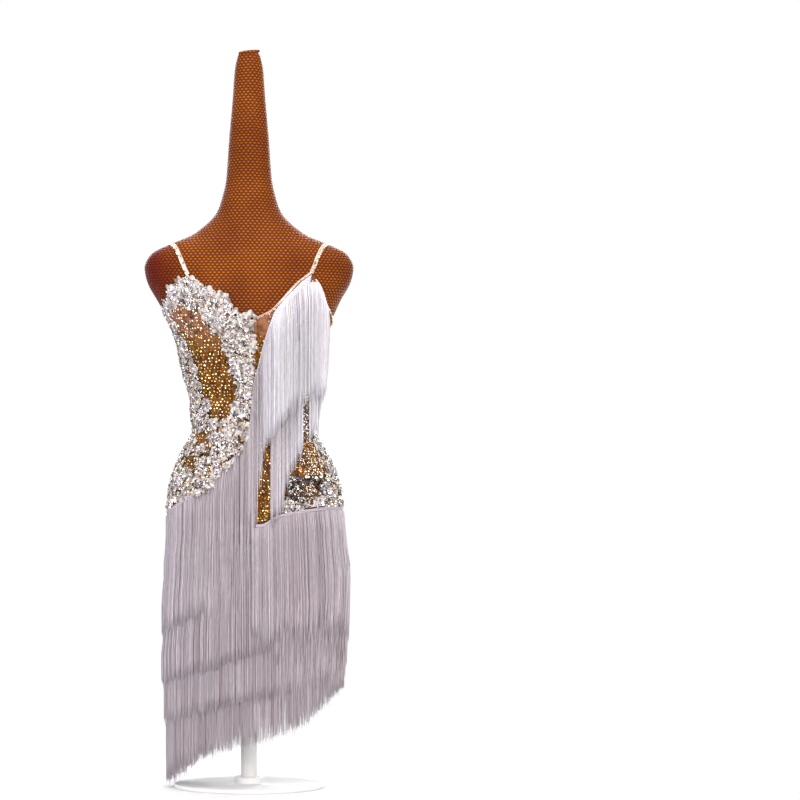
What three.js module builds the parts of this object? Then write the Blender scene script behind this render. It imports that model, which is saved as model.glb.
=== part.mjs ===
// A fringed latin dance dress worn by a limbless dress form on a post and a round base.
// Millimetres, +Z up, the front faces -Y and the wearer's left is +X.
// Angles go round the body in degrees: 0 is the centre front, 90 the wearer's left,
// 180 the centre back and 270 (or -90) the wearer's right.

import * as THREE from 'three';

// ---- driving dimensions ----

const clothThickness = 1.2;    // stretch mesh of the bodice and the underskirt
const laceThickness = 1.5;     // beaded lace, stones included
const fringeThickness = 3.6;   // bulk of one row of hanging threads
const layerGap = 0.7;          // clear space between two layers of cloth
const formGap = 1.2;           // clear space between the form and the cloth
const seamGap = 0.3;           // clear space between two pieces at a seam
const skirtSeamGap = 0.5;      // the same where the straight underskirt meets the shaped pieces
const tierStep = fringeThickness + layerGap;
const tierRamp = 34;           // height over which a row swings out over the next heading
const looseGap = 1.4;          // more clear space behind the rows on the bodice
const cupRowGap = 0.5;         // the same where they pass the fullest part of the cup
const rampMargin = 5;          // height by which that swing ends above the heading
const bendSpacing = 2;         // least height between two rows of facets
const tapeHeight = 8;          // woven heading that a fringe hangs from
const trimWidth = 8;           // crystal trim along an edge
const strapWidth = 9;
const strapThickness = 3;
const bandWidth = 9;
const bandThickness = 3.4;
const claspWidth = 15;
const sideSeamAngle = 100;
const centreSeamAngle = 4.8;
const columnStep = 10;         // degrees from one column of facets to the next
const hipHeight = 559;         // widest level of the hips, below which cloth hangs straight
const hangStep = 12;           // height between the levels that hanging threads are held off

const bust = { height: 934, spread: 78, width: 46, rise: 50, swell: 17, formSwell: 14 };

const formUnderside = 374;
const neckTop = 1464;
const ringStep = 26;           // height between the rings of the form
const capRadius = 21;
const capHeight = 11;

const postRadius = 16;
const baseRadius = 150;
const baseThickness = 8;
const baseEdge = 3;
const bossRadius = 30;
const bossHeight = 22;

// Levels of the form: height, sideways shift, half width, depth to the front and to the back.
const formLevels = [
  { z: 374, shift: 12, half: 150, front: 92, back: 94 },
  { z: 434, shift: 12, half: 161, front: 99, back: 103 },
  { z: 514, shift: 12, half: 169, front: 105, back: 112 },
  { z: 574, shift: 12, half: 171, front: 106, back: 114 },
  { z: 634, shift: 11, half: 157, front: 103, back: 106 },
  { z: 678, shift: 10, half: 136, front: 98, back: 96 },
  { z: 708, shift: 9, half: 117, front: 93, back: 88 },
  { z: 750, shift: 7, half: 110, front: 87, back: 79 },
  { z: 774, shift: 6, half: 107, front: 85, back: 76 },
  { z: 812, shift: 5, half: 119, front: 88, back: 78 },
  { z: 854, shift: 6, half: 131, front: 95, back: 82 },
  { z: 884, shift: 6, half: 138, front: 101, back: 85 },
  { z: 920, shift: 4, half: 154, front: 107, back: 88 },
  { z: 942, shift: 2, half: 167, front: 107, back: 90 },
  { z: 974, shift: 0, half: 184, front: 103, back: 91 },
  { z: 1006, shift: 0, half: 202, front: 96, back: 90 },
  { z: 1038, shift: 0, half: 209, front: 89, back: 87 },
  { z: 1054, shift: 0, half: 204, front: 86, back: 84 },
  { z: 1070, shift: 0, half: 190, front: 81, back: 80 },
  { z: 1086, shift: 0, half: 156, front: 76, back: 76 },
  { z: 1102, shift: 0, half: 117, front: 70, back: 72 },
  { z: 1118, shift: 0, half: 94, front: 65, back: 68 },
  { z: 1134, shift: 0, half: 76, front: 61, back: 64 },
  { z: 1152, shift: 0, half: 63, front: 56, back: 58 },
  { z: 1182, shift: 0, half: 53, front: 50, back: 51 },
  { z: 1214, shift: 0, half: 46, front: 44, back: 45 },
  { z: 1294, shift: 0, half: 40, front: 39, back: 39 },
  { z: 1374, shift: 0, half: 33, front: 33, back: 33 },
  { z: 1438, shift: 0, half: 28, front: 28, back: 28 },
  { z: 1464, shift: 0, half: 22, front: 22, back: 22 },
];

// How far the bodice stands off the narrow waist at the sides.
const standOffs = [
  { z: 672, off: 0 },
  { z: 692, off: 1 },
  { z: 712, off: 2 },
  { z: 750, off: 10 },
  { z: 774, off: 12 },
  { z: 812, off: 10 },
  { z: 884, off: 8 },
  { z: 925, off: 2 },
  { z: 950, off: 0 },
];

// Upper edge of the bodice, from the wearer's right side to the left side.
const bodiceTop = [
  { angle: -100, z: 886 },
  { angle: -90, z: 926 },
  { angle: -76, z: 956 },
  { angle: -63, z: 972 },
  { angle: -46, z: 1005 },
  { angle: -35, z: 1022 },
  { angle: -25, z: 1000 },
  { angle: -16, z: 977 },
  { angle: -8, z: 944 },
  { angle: 4.8, z: 938 },
  { angle: 14, z: 952 },
  { angle: 21, z: 976 },
  { angle: 28, z: 1008 },
  { angle: 36, z: 1030 },
  { angle: 40, z: 1014 },
  { angle: 57, z: 968 },
  { angle: 68, z: 950 },
  { angle: 90, z: 926 },
  { angle: 100, z: 886 },
];

// Top of the long fringe tape: from the left strap down the cup edge, across the front
// and over the right hip, with the lower ends of the threads that hang from it.
const diagonalTape = [
  { angle: -90, z: 545, hem: 304 },
  { angle: -75, z: 555, hem: 316 },
  { angle: -54, z: 578, hem: 330 },
  { angle: -41, z: 596, hem: 346 },
  { angle: -27, z: 622, hem: 356 },
  { angle: -22, z: 648, hem: 368 },
  { angle: -15, z: 664, hem: 378 },
  { angle: -9, z: 686, hem: 436 },
  { angle: -3.5, z: 730, hem: 474 },
  { angle: 2, z: 812, hem: 506 },
  { angle: 5, z: 838, hem: 566 },
  { angle: 7.5, z: 867, hem: 604 },
  { angle: 9, z: 884, hem: 674 },
  { angle: 13, z: 920, hem: 696 },
  { angle: 16, z: 942, hem: 709 },
  { angle: 23, z: 972, hem: 742 },
  { angle: 30, z: 1002, hem: 764 },
  { angle: 36, z: 1018, hem: 777 },
  { angle: 42, z: 1000, hem: 782 },
  { angle: 57, z: 956, hem: 788 },
  { angle: 61, z: 951, hem: 790 },
];

// Angles at which the long fringe is divided: hip, centre and cup.
const fringeDivisions = { right: -89.9, hip: -15, cup: 9, side: 61 };

// Rows that hang under the cup fringe: one at the front and one at the side.
const innerCupRows = {
  front: [
    { angle: 19.1, z: 788, hem: 542 },
    { angle: 27.7, z: 794, hem: 548 },
    { angle: 30.4, z: 800, hem: 562 },
    { angle: 31.2, z: 812, hem: 596 },
    { angle: 32.4, z: 840, hem: 622 },
    { angle: 33.4, z: 860, hem: 642 },
    { angle: 36.5, z: 880, hem: 652 },
    { angle: 41.4, z: 900, hem: 680 },
  ],
  side: [
    { angle: 47.6, z: 905, hem: 702 },
    { angle: 52.5, z: 904, hem: 708 },
    { angle: 57, z: 902, hem: 714 },
    { angle: 61.5, z: 899, hem: 732 },
    { angle: 65, z: 896, hem: 754 },
    { angle: 69, z: 892, hem: 782 },
  ],
};

// Skirt: the hip seam with the first heading below it, the three lower headings and
// the four hems, all as heights round the body.
const skirtRows = [
  { angle: -90, seam: 545, head2: 450, head3: 372, head4: 262, hem1: 304, hem2: 212, hem3: 138, hem4: 18 },
  { angle: -75, seam: 546, head2: 454, head3: 378, head4: 268, hem1: 316, hem2: 214, hem3: 139, hem4: 24 },
  { angle: -45, seam: 543, head2: 468, head3: 386, head4: 300, hem1: 342, hem2: 230, hem3: 147, hem4: 58 },
  { angle: -20, seam: 532, head2: 490, head3: 404, head4: 330, hem1: 370, hem2: 248, hem3: 168, hem4: 84 },
  { angle: 5, seam: 530, head2: 496, head3: 424, head4: 350, hem1: 292, hem2: 280, hem3: 184, hem4: 104 },
  { angle: 14, seam: 546, head2: 501, head3: 430, head4: 357, hem1: 303, hem2: 281, hem3: 192, hem4: 114 },
  { angle: 30, seam: 556, head2: 510, head3: 442, head4: 370, hem1: 316, hem2: 284, hem3: 205, hem4: 130 },
  { angle: 60, seam: 563, head2: 520, head3: 465, head4: 425, hem1: 322, hem2: 286, hem3: 226, hem4: 184 },
  { angle: 90, seam: 558, head2: 500, head3: 462, head4: 438, hem1: 312, hem2: 262, hem3: 232, hem4: 206 },
  { angle: 120, seam: 552, head2: 478, head3: 440, head4: 415, hem1: 306, hem2: 238, hem3: 210, hem4: 182 },
  { angle: 150, seam: 540, head2: 464, head3: 415, head4: 372, hem1: 297, hem2: 215, hem3: 178, hem4: 131 },
  { angle: 180, seam: 515, head2: 446, head3: 390, head4: 346, hem1: 284, hem2: 208, hem3: 160, hem4: 104 },
  { angle: 210, seam: 520, head2: 440, head3: 372, head4: 304, hem1: 278, hem2: 205, hem3: 145, hem4: 61 },
  { angle: 240, seam: 519, head2: 432, head3: 364, head4: 262, hem1: 278, hem2: 202, hem3: 136, hem4: 18 },
  { angle: 270, seam: 545, head2: 450, head3: 372, head4: 262, hem1: 304, hem2: 212, hem3: 138, hem4: 18 },
];

// Upper edge of the lace band at the back of the hips.
const hipBandTop = [
  { angle: 100, z: 684 },
  { angle: 120, z: 678 },
  { angle: 144, z: 672 },
  { angle: 157, z: 660 },
  { angle: 180, z: 657 },
  { angle: 205, z: 656 },
  { angle: 220, z: 664 },
  { angle: 240, z: 668 },
  { angle: 260, z: 680 },
];

// Centre lines of the straps, from the cup over the shoulder to the side corner at the back.
const leftStrap = [
  { angle: 36.5, z: 1031 },
  { angle: 40.5, z: 1052 },
  { angle: 48, z: 1070 },
  { angle: 62, z: 1081 },
  { angle: 82, z: 1086 },
  { angle: 102, z: 1086 },
  { angle: 118, z: 1076 },
  { angle: 125, z: 1054 },
  { angle: 124, z: 1024 },
  { angle: 118, z: 986 },
  { angle: 108, z: 952 },
  { angle: 104.5, z: 922 },
  { angle: 104, z: 892 },
];
const rightStrap = [
  { angle: -35.5, z: 1023 },
  { angle: -40, z: 1050 },
  { angle: -48, z: 1070 },
  { angle: -62, z: 1081 },
  { angle: -82, z: 1086 },
  { angle: -102, z: 1086 },
  { angle: -118, z: 1076 },
  { angle: -125, z: 1050 },
  { angle: -125, z: 1014 },
  { angle: -120, z: 980 },
  { angle: -112, z: 944 },
  { angle: -107, z: 916 },
  { angle: -104, z: 892 },
];

// Centre line of the band across the back; it sags a little to the clasp in the middle.
const backBand = [
  { angle: 101, z: 882 },
  { angle: 120, z: 873 },
  { angle: 143, z: 865 },
  { angle: 164, z: 862 },
  { angle: 180, z: 860 },
  { angle: 197, z: 863 },
  { angle: 218, z: 870 },
  { angle: 241, z: 877 },
  { angle: 259, z: 881 },
];

// Lace laid on the bodice: its span in angle and in the rows of the panel below it.
const lacePieces = [
  { name: 'lace_neckline', from: -76, to: 3.6, firstRow: 0, lastRow: 2 },
  { name: 'lace_centre', from: -20, to: -2, firstRow: 2, lastRow: 8 },
  { name: 'lace_side', from: -90, to: -50, firstRow: 2, lastRow: 10 },
  { name: 'lace_waist', from: -86, to: -25, firstRow: 10, lastRow: 13 },
  { name: 'lace_hip_right', from: -86, to: -40, firstRow: 13, lastRow: 15 },
  { name: 'lace_hip_left', from: 46, to: 90, firstRow: 12, lastRow: 18 },
  { name: 'lace_hip_left_low', from: 21, to: 45.7, firstRow: 16, lastRow: 18 },
];
const panelRows = 18;          // rows of facets down the front of the bodice

// ---- materials ----

function finish(colour, roughness, metalness) {
  return new THREE.MeshStandardMaterial({ color: colour, roughness, metalness });
}

const finishes = {
  cover: () => finish(0x94502f, 0.45, 0),
  coat: () => finish(0xf2f2f2, 0.4, 0),
  mesh: () => finish(0xc99672, 0.7, 0),
  lace: () => finish(0xd9d4d2, 0.5, 0),
  trim: () => finish(0xe9d3c6, 0.4, 0),
  fringe: () => finish(0xdcd6e0, 0.6, 0),
  clasp: () => finish(0xd8d8dc, 0.25, 0),
};

// ---- reading the tables ----

// Smooth value of one column of a table at a place along its key column.
function smoothAt(table, key, column, place) {
  const last = table.length - 1;
  const clamped = Math.min(Math.max(place, table[0][key]), table[last][key]);
  let i = 0;
  while (i < last - 1 && clamped > table[i + 1][key]) i += 1;
  const slope = (n) => {
    const a = table[Math.max(n - 1, 0)];
    const b = table[Math.min(n + 1, last)];
    return (b[column] - a[column]) / (b[key] - a[key]);
  };
  const span = table[i + 1][key] - table[i][key];
  const t = (clamped - table[i][key]) / span;
  const h = t * t * (3 - 2 * t);
  return table[i][column] * (1 - h) + table[i + 1][column] * h
    + span * slope(i) * t * (1 - t) ** 2 - span * slope(i + 1) * t * t * (1 - t);
}

// Straight-line value of one column of a table.
function straightAt(table, key, column, place) {
  let i = 0;
  while (i < table.length - 2 && place > table[i + 1][key]) i += 1;
  const t = THREE.MathUtils.clamp((place - table[i][key]) / (table[i + 1][key] - table[i][key]), 0, 1);
  return THREE.MathUtils.lerp(table[i][column], table[i + 1][column], t);
}

const bodiceTopAt = (angle) => straightAt(bodiceTop, 'angle', 'z', angle);
const tapeAt = (angle) => straightAt(diagonalTape, 'angle', 'z', angle);
const skirtAt = (angle, column) => smoothAt(skirtRows, 'angle', column, angle);

// ---- surfaces of the body ----

// Section of the form at a height.
function sectionAt(z) {
  const section = {};
  for (const column of ['shift', 'half', 'front', 'back']) {
    section[column] = smoothAt(formLevels, 'z', column, z);
  }
  return section;
}

// Share of the cups' swell at a place on the front.
function cupSwell(x, z) {
  const across = (Math.abs(x) - bust.spread) / bust.width;
  const up = (z - bust.height) / bust.rise;
  return Math.exp(-across * across - up * up);
}

// Point of a section at an angle, moved outward.
function sectionPoint(section, angle, z, out, swell) {
  const turn = THREE.MathUtils.degToRad(angle);
  const front = Math.cos(turn) > 0;
  const x = section.half * Math.sin(turn);
  const depth = front ? section.front + swell : section.back;
  return new THREE.Vector3(section.shift + x + out * Math.sin(turn), -(depth + out) * Math.cos(turn), z);
}

// Point on the body, moved outward.
function skin(angle, z, out, swell = bust.swell) {
  const section = sectionAt(z);
  const x = section.half * Math.sin(THREE.MathUtils.degToRad(angle));
  return sectionPoint(section, angle, z, out, swell * cupSwell(x, z));
}

// How far the dress stands off the waist, which is most at the sides.
function standOff(angle, z) {
  return smoothAt(standOffs, 'z', 'off', z) * Math.sin(THREE.MathUtils.degToRad(angle)) ** 4;
}

// Point on the dress.
function cloth(angle, z, out) {
  return skin(angle, z, out + standOff(angle, z));
}

// Point on threads that hang from a height: they fall straight and never go back inward.
function hang(angle, top, z, out) {
  const turn = THREE.MathUtils.degToRad(angle);
  const side = Math.cos(turn) > 0 ? 'front' : 'back';
  const start = sectionAt(top);
  const x = start.shift + start.half * Math.sin(turn);
  let depth = 0;
  for (let level = top; level > z - hangStep; level -= hangStep) {
    const height = Math.max(level, z);
    const passed = sectionAt(height);
    const share = (x - passed.shift) / passed.half;
    const swell = side === 'front' ? bust.swell * cupSwell(x, height) : 0;
    const reach = (passed[side] + swell) * Math.sqrt(Math.max(0, 1 - share * share));
    depth = Math.max(depth, reach);
  }
  const outward = side === 'front' ? -1 : 1;
  return new THREE.Vector3(x + out * Math.sin(turn), outward * depth - out * Math.cos(turn), z);
}

// Point on cloth that follows the body down to the hips and hangs straight below them.
function draped(angle, z, out) {
  return hang(angle, Math.max(z, hipHeight), z, out);
}

// ---- closed solids ----

function closedGeometry(points, faces) {
  let volume = 0;
  for (const [a, b, c] of faces) {
    volume += points[a].dot(new THREE.Vector3().crossVectors(points[b], points[c]));
  }
  const index = faces.flatMap(([a, b, c]) => (volume > 0 ? [a, b, c] : [a, c, b]));
  const geometry = new THREE.BufferGeometry().setFromPoints(points);
  geometry.setIndex(index);
  geometry.computeVertexNormals();
  return geometry;
}

// Wall between an inner and an outer sheet. Each sheet has one column of points for each
// entry of columns; pointAt(column, share of the way down, 0 inside or 1 outside) places them.
function wall(columns, rowCount, pointAt, joined = false) {
  const points = [];
  for (const side of [0, 1]) {
    for (const column of columns) {
      for (let row = 0; row <= rowCount; row += 1) points.push(pointAt(column, row / rowCount, side));
    }
  }
  const at = (side, column, row) => (side * columns.length + (column % columns.length)) * (rowCount + 1) + row;
  const faces = [];
  const quad = (a, b, c, d) => faces.push([a, b, c], [a, c, d]);
  const spans = joined ? columns.length : columns.length - 1;
  for (let i = 0; i < spans; i += 1) {
    for (let j = 0; j < rowCount; j += 1) {
      quad(at(0, i, j), at(0, i + 1, j), at(0, i + 1, j + 1), at(0, i, j + 1));
      quad(at(1, i, j), at(1, i, j + 1), at(1, i + 1, j + 1), at(1, i + 1, j));
    }
    quad(at(0, i, 0), at(1, i, 0), at(1, i + 1, 0), at(0, i + 1, 0));
    quad(at(0, i, rowCount), at(0, i + 1, rowCount), at(1, i + 1, rowCount), at(1, i, rowCount));
  }
  if (!joined) {
    for (let j = 0; j < rowCount; j += 1) {
      quad(at(0, 0, j), at(0, 0, j + 1), at(1, 0, j + 1), at(1, 0, j));
      quad(at(0, spans, j), at(1, spans, j), at(1, spans, j + 1), at(0, spans, j + 1));
    }
  }
  return closedGeometry(points, faces);
}

// Angles from one edge to another, on the shared columns in between.
function columnsBetween(from, to, extra = []) {
  const angles = [from, to, ...extra.filter((angle) => angle > from && angle < to)];
  const first = Math.ceil((from + 2) / columnStep) * columnStep;
  for (let angle = first; angle < to - 2; angle += columnStep) {
    if (angles.every((other) => Math.abs(other - angle) > 1.5)) angles.push(angle);
  }
  return angles.sort((a, b) => a - b);
}

// Piece of cloth on the body between two edges given as heights round it.
function panel(columns, rowCount, top, bottom, inner, thickness, surface = cloth) {
  return wall(columns, rowCount, (angle, share, side) => {
    const z = THREE.MathUtils.lerp(top(angle), bottom(angle), share);
    return surface(angle, z, inner + side * thickness);
  });
}

// Flat ribbon along a centre line on the body.
function ribbon(line, width, inner, thickness, count) {
  const curve = new THREE.CatmullRomCurve3(line.map(({ angle, z }) => new THREE.Vector3(angle, z, 0)));
  const path = curve.getPoints(count).map((point) => ({ angle: point.x, z: point.y }));
  const centre = path.map(({ angle, z }) => cloth(angle, z, inner));
  const stations = path.map((_, i) => i);
  return wall(stations, 1, (i, share, side) => {
    const along = centre[Math.min(i + 1, path.length - 1)].clone().sub(centre[Math.max(i - 1, 0)]).normalize();
    const { angle, z } = path[i];
    const round = cloth(angle + 1, z, inner).sub(cloth(angle - 1, z, inner));
    const up = cloth(angle, z + 2, inner).sub(cloth(angle, z - 2, inner));
    const outward = round.cross(up).normalize();
    const across = new THREE.Vector3().crossVectors(along, outward).normalize();
    return centre[i].clone().addScaledVector(across, (share - 0.5) * width).addScaledVector(outward, side * thickness);
  });
}

// ---- the form and its stand ----

function formBody() {
  const columns = [];
  for (let angle = 0; angle < 360; angle += columnStep) columns.push(angle);
  const ringCount = Math.round((neckTop - formUnderside) / ringStep);
  const points = [];
  for (let ring = 0; ring <= ringCount; ring += 1) {
    const z = THREE.MathUtils.lerp(formUnderside, neckTop, ring / ringCount);
    for (const angle of columns) points.push(skin(angle, z, 0, bust.formSwell));
  }
  const under = points.push(new THREE.Vector3(sectionAt(formUnderside).shift, 0, formUnderside)) - 1;
  const crown = points.push(new THREE.Vector3(0, 0, neckTop)) - 1;
  const faces = [];
  const count = columns.length;
  for (let i = 0; i < count; i += 1) {
    const next = (i + 1) % count;
    faces.push([under, next, i], [crown, ringCount * count + i, ringCount * count + next]);
    for (let ring = 0; ring < ringCount; ring += 1) {
      const low = ring * count;
      const high = low + count;
      faces.push([low + i, low + next, high + next], [low + i, high + next, high + i]);
    }
  }
  return closedGeometry(points, faces);
}

function lathe(outline, segments) {
  const geometry = new THREE.LatheGeometry(outline.map(([r, z]) => new THREE.Vector2(r, z)), segments);
  return geometry.rotateX(Math.PI / 2);
}

function neckCap() {
  const low = neckTop + seamGap;
  return lathe([
    [0, low],
    [capRadius, low],
    [capRadius, low + capHeight * 0.3],
    [capRadius * 0.8, low + capHeight * 0.75],
    [capRadius * 0.35, low + capHeight],
    [0, low + capHeight],
  ], 18);
}

function standPost() {
  const low = bossHeight - 4;
  const high = formUnderside - seamGap;
  return lathe([[0, low], [postRadius, low], [postRadius, high], [0, high]], 24);
}

function standBase() {
  const well = postRadius + seamGap;
  const floor = bossHeight - 4 - seamGap;
  return lathe([
    [0, 0],
    [baseRadius - baseEdge, 0],
    [baseRadius, baseEdge],
    [baseRadius, baseThickness - baseEdge],
    [baseRadius - baseEdge, baseThickness],
    [bossRadius + baseEdge, baseThickness],
    [bossRadius, baseThickness + baseEdge],
    [bossRadius - baseEdge, bossHeight],
    [well, bossHeight],
    [well, floor],
    [0, floor],
  ], 40);
}

// ---- the dress ----

const seamAt = (angle) => skirtAt(angle, 'seam');
const frontColumns = {
  right: columnsBetween(-sideSeamAngle, centreSeamAngle - 0.08, [-35, -25, -16]),
  left: columnsBetween(centreSeamAngle + 0.08, sideSeamAngle, [14, 21, 28, 36, 45, 55]),
};
const overMesh = formGap + clothThickness + layerGap;

function bodiceFront(columns) {
  return panel(columns, panelRows, bodiceTopAt, seamAt, formGap, clothThickness);
}

const hipBandEdge = sideSeamAngle + 0.15;
const hipBandColumns = columnsBetween(hipBandEdge, 360 - hipBandEdge);

function hipBand() {
  const top = (angle) => smoothAt(hipBandTop, 'angle', 'z', angle);
  return panel(hipBandColumns, 4, top, seamAt, formGap, laceThickness);
}

// Straight tube under the fringe, which carries the three lower headings.
function underskirt() {
  const columns = [...frontColumns.right.slice(0, -1), ...frontColumns.left, ...hipBandColumns.slice(1, -1)];
  return wall(columns, 2, (angle, share, side) => {
    const round = angle < -90 ? angle + 360 : angle;
    const low = skirtAt(round, 'head4') - tapeHeight * 1.5;
    const z = THREE.MathUtils.lerp(seamAt(round) - skirtSeamGap, low, share);
    return draped(angle, z, formGap + side * clothThickness);
  }, true);
}

// Lace made from the points of the panel below it, moved out.
function laceOnBodice({ from, to, firstRow, lastRow }) {
  const shared = [...frontColumns.right, ...frontColumns.left].filter((angle) => angle > from + 2 && angle < to - 2);
  const rowAt = (row) => (angle) => THREE.MathUtils.lerp(bodiceTopAt(angle), seamAt(angle), row / panelRows);
  const top = (angle) => rowAt(firstRow)(angle) - seamGap;
  return panel([from, ...shared, to], lastRow - firstRow, top, rowAt(lastRow), overMesh, laceThickness);
}

// How far a row is pushed out by the rows that start below its own heading.
function pushedOut(angle, z, tier) {
  let push = 0;
  for (let lower = tier + 1; lower <= 4; lower += 1) {
    const { from, to } = rampAt(angle, lower);
    push += tierStep * THREE.MathUtils.clamp((from - z) / (from - to), 0, 1);
  }
  return push;
}

// Heights between which the rows above swing out over a heading.
function rampAt(angle, tier) {
  const head = skirtAt(angle, `head${tier}`);
  const above = tier > 2 ? skirtAt(angle, `head${tier - 1}`) - head - rampMargin : tierRamp;
  return { from: head + rampMargin + Math.min(tierRamp, above - rampMargin), to: head + rampMargin };
}

// Threads of one skirt row: a row of facets starts and ends where the threads bend.
function skirtFringe(tier, columns, head, hem, upperRows = 1) {
  const rowCount = (4 - tier) * 2 + upperRows;
  return wall(columns, rowCount, (angle, share, side) => {
    const row = Math.round(share * rowCount);
    const top = head(angle);
    const low = hem(angle);
    const bends = [];
    for (let lower = tier + 1; lower <= 4; lower += 1) bends.push(rampAt(angle, lower).from, rampAt(angle, lower).to);
    const upper = [];
    for (let i = 0; i < upperRows; i += 1) upper.push(THREE.MathUtils.lerp(top, bends[0] ?? low, i / upperRows));
    const heights = [...upper, ...bends, low];
    const room = (rowCount - row) * bendSpacing;
    const z = THREE.MathUtils.clamp(heights[row], low + room, top - row * bendSpacing);
    return draped(angle, z, overMesh + pushedOut(angle, z, tier) + side * fringeThickness);
  });
}

// Threads of a row on the front; pushAt tells how far other rows below it push it out.
function frontFringe(rows, columns, rowCount, below, pushAt) {
  return wall(columns, rowCount, (angle, share, side) => {
    const top = straightAt(rows, 'angle', 'z', angle) - below;
    const z = THREE.MathUtils.lerp(top, straightAt(rows, 'angle', 'hem', angle), share);
    const loose = looseGap * THREE.MathUtils.clamp((top - z) / tierRamp, 0.1, 1);
    return hang(angle, top, z, overMesh + loose + pushAt(angle, top, z) + side * fringeThickness);
  });
}

function heading(columns, top) {
  return panel(columns, 1, top, (angle) => top(angle) - tapeHeight, overMesh, laceThickness, draped);
}

// ---- the assembly ----

const group = new THREE.Group();

function add(name, geometry, material) {
  const mesh = new THREE.Mesh(geometry, material);
  mesh.name = name;
  group.add(mesh);
}

add('form_body', formBody(), finishes.cover());
add('form_neck_cap', neckCap(), finishes.cover());
add('stand_post', standPost(), finishes.coat());
add('stand_base', standBase(), finishes.coat());

add('bodice_front_right', bodiceFront(frontColumns.right), finishes.mesh());
add('bodice_front_left', bodiceFront(frontColumns.left), finishes.mesh());
add('hip_band_back', hipBand(), finishes.lace());
add('underskirt', underskirt(), finishes.mesh());
for (const piece of lacePieces) add(piece.name, laceOnBodice(piece), finishes.lace());

const edgeLine = (from, to) => bodiceTop
  .filter(({ angle }) => angle >= from && angle <= to)
  .map(({ angle, z }) => ({ angle, z: z - trimWidth / 2 - seamGap }));
add('strap_right', ribbon(rightStrap, strapWidth, formGap, strapThickness, 26), finishes.trim());
add('strap_left', ribbon(leftStrap, strapWidth, formGap, strapThickness, 26), finishes.trim());
add('neck_trim_left', ribbon(edgeLine(4.8, 36), trimWidth, overMesh, laceThickness, 10), finishes.trim());
add('armhole_trim_left', ribbon(edgeLine(40, 90), trimWidth, overMesh, laceThickness, 12), finishes.trim());
add('back_band', ribbon(backBand, bandWidth, formGap, bandThickness, 18), finishes.trim());
const claspOver = formGap + bandThickness + seamGap;
const claspHalf = THREE.MathUtils.radToDeg(claspWidth / 2 / sectionAt(860).half);
const claspLine = [-claspHalf, 0, claspHalf].map((turn) => ({ angle: 180 + turn, z: 860 }));
add('back_clasp', ribbon(claspLine, bandWidth, claspOver, laceThickness, 2), finishes.clasp());

const halves = {
  front: columnsBetween(-90, 89.9),
  back: columnsBetween(90, 269.9),
};
const tapePlaces = diagonalTape.map(({ angle }) => angle);
const { right, hip, cup, side: cupSide } = fringeDivisions;
const divisionGap = 0.15;
const leftTapeStart = 0.3;
const hipColumns = columnsBetween(right, hip, tapePlaces);
const centreColumns = columnsBetween(hip + divisionGap, cup, tapePlaces);
const cupColumns = columnsBetween(cup + divisionGap, cupSide, tapePlaces);
const leftColumns = columnsBetween(leftTapeStart, 89.9);
const belowTape = (angle) => seamAt(angle) - tapeHeight - 2 * seamGap;
const diagonalHem = (angle) => straightAt(diagonalTape, 'angle', 'hem', angle);
const belowSeam = (angle) => seamAt(angle) - seamGap;

add('tape_front_right', heading(columnsBetween(-89.9, 36, tapePlaces), tapeAt), finishes.fringe());
add('tape_front_left', heading(leftColumns, belowSeam), finishes.fringe());
add('tape_back', heading(halves.back, belowSeam), finishes.fringe());

const belowDiagonal = tapeHeight + seamGap;
add('fringe_1_front_right',
  skirtFringe(1, hipColumns, (angle) => tapeAt(angle) - belowDiagonal, diagonalHem, 4), finishes.fringe());
add('fringe_1_centre',
  frontFringe(diagonalTape, centreColumns, 12, belowDiagonal, (angle, top, z) => pushedOut(angle, z, 1)),
  finishes.fringe());
for (const [name, columns] of [['fringe_1_front_left', leftColumns], ['fringe_1_back', halves.back]]) {
  add(name, skirtFringe(1, columns, belowTape, (angle) => skirtAt(angle, 'hem1')), finishes.fringe());
}
for (const tier of [2, 3, 4]) {
  for (const [side, columns] of Object.entries(halves)) {
    const head = (angle) => skirtAt(angle, `head${tier}`);
    const hem = (angle) => skirtAt(angle, `hem${tier}`);
    add(`fringe_${tier}_${side}`, skirtFringe(tier, columns, head, hem), finishes.fringe());
  }
}

const againstBodice = (angle, top) => standOff(angle, top) + cupRowGap;
const overInner = (angle, top, z) => againstBodice(angle, top)
  + tierStep * THREE.MathUtils.clamp((top - z) / tierRamp, 0.1, 1);
add('cup_fringe_outer', frontFringe(diagonalTape, cupColumns, 7, belowDiagonal, overInner), finishes.fringe());
for (const [side, rows] of Object.entries(innerCupRows)) {
  const columns = rows.map(({ angle }) => angle);
  add(`cup_fringe_inner_${side}`, frontFringe(rows, columns, 9, 0, againstBodice), finishes.fringe());
}

export default group;
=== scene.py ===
import math
import re
from functools import partial

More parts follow.
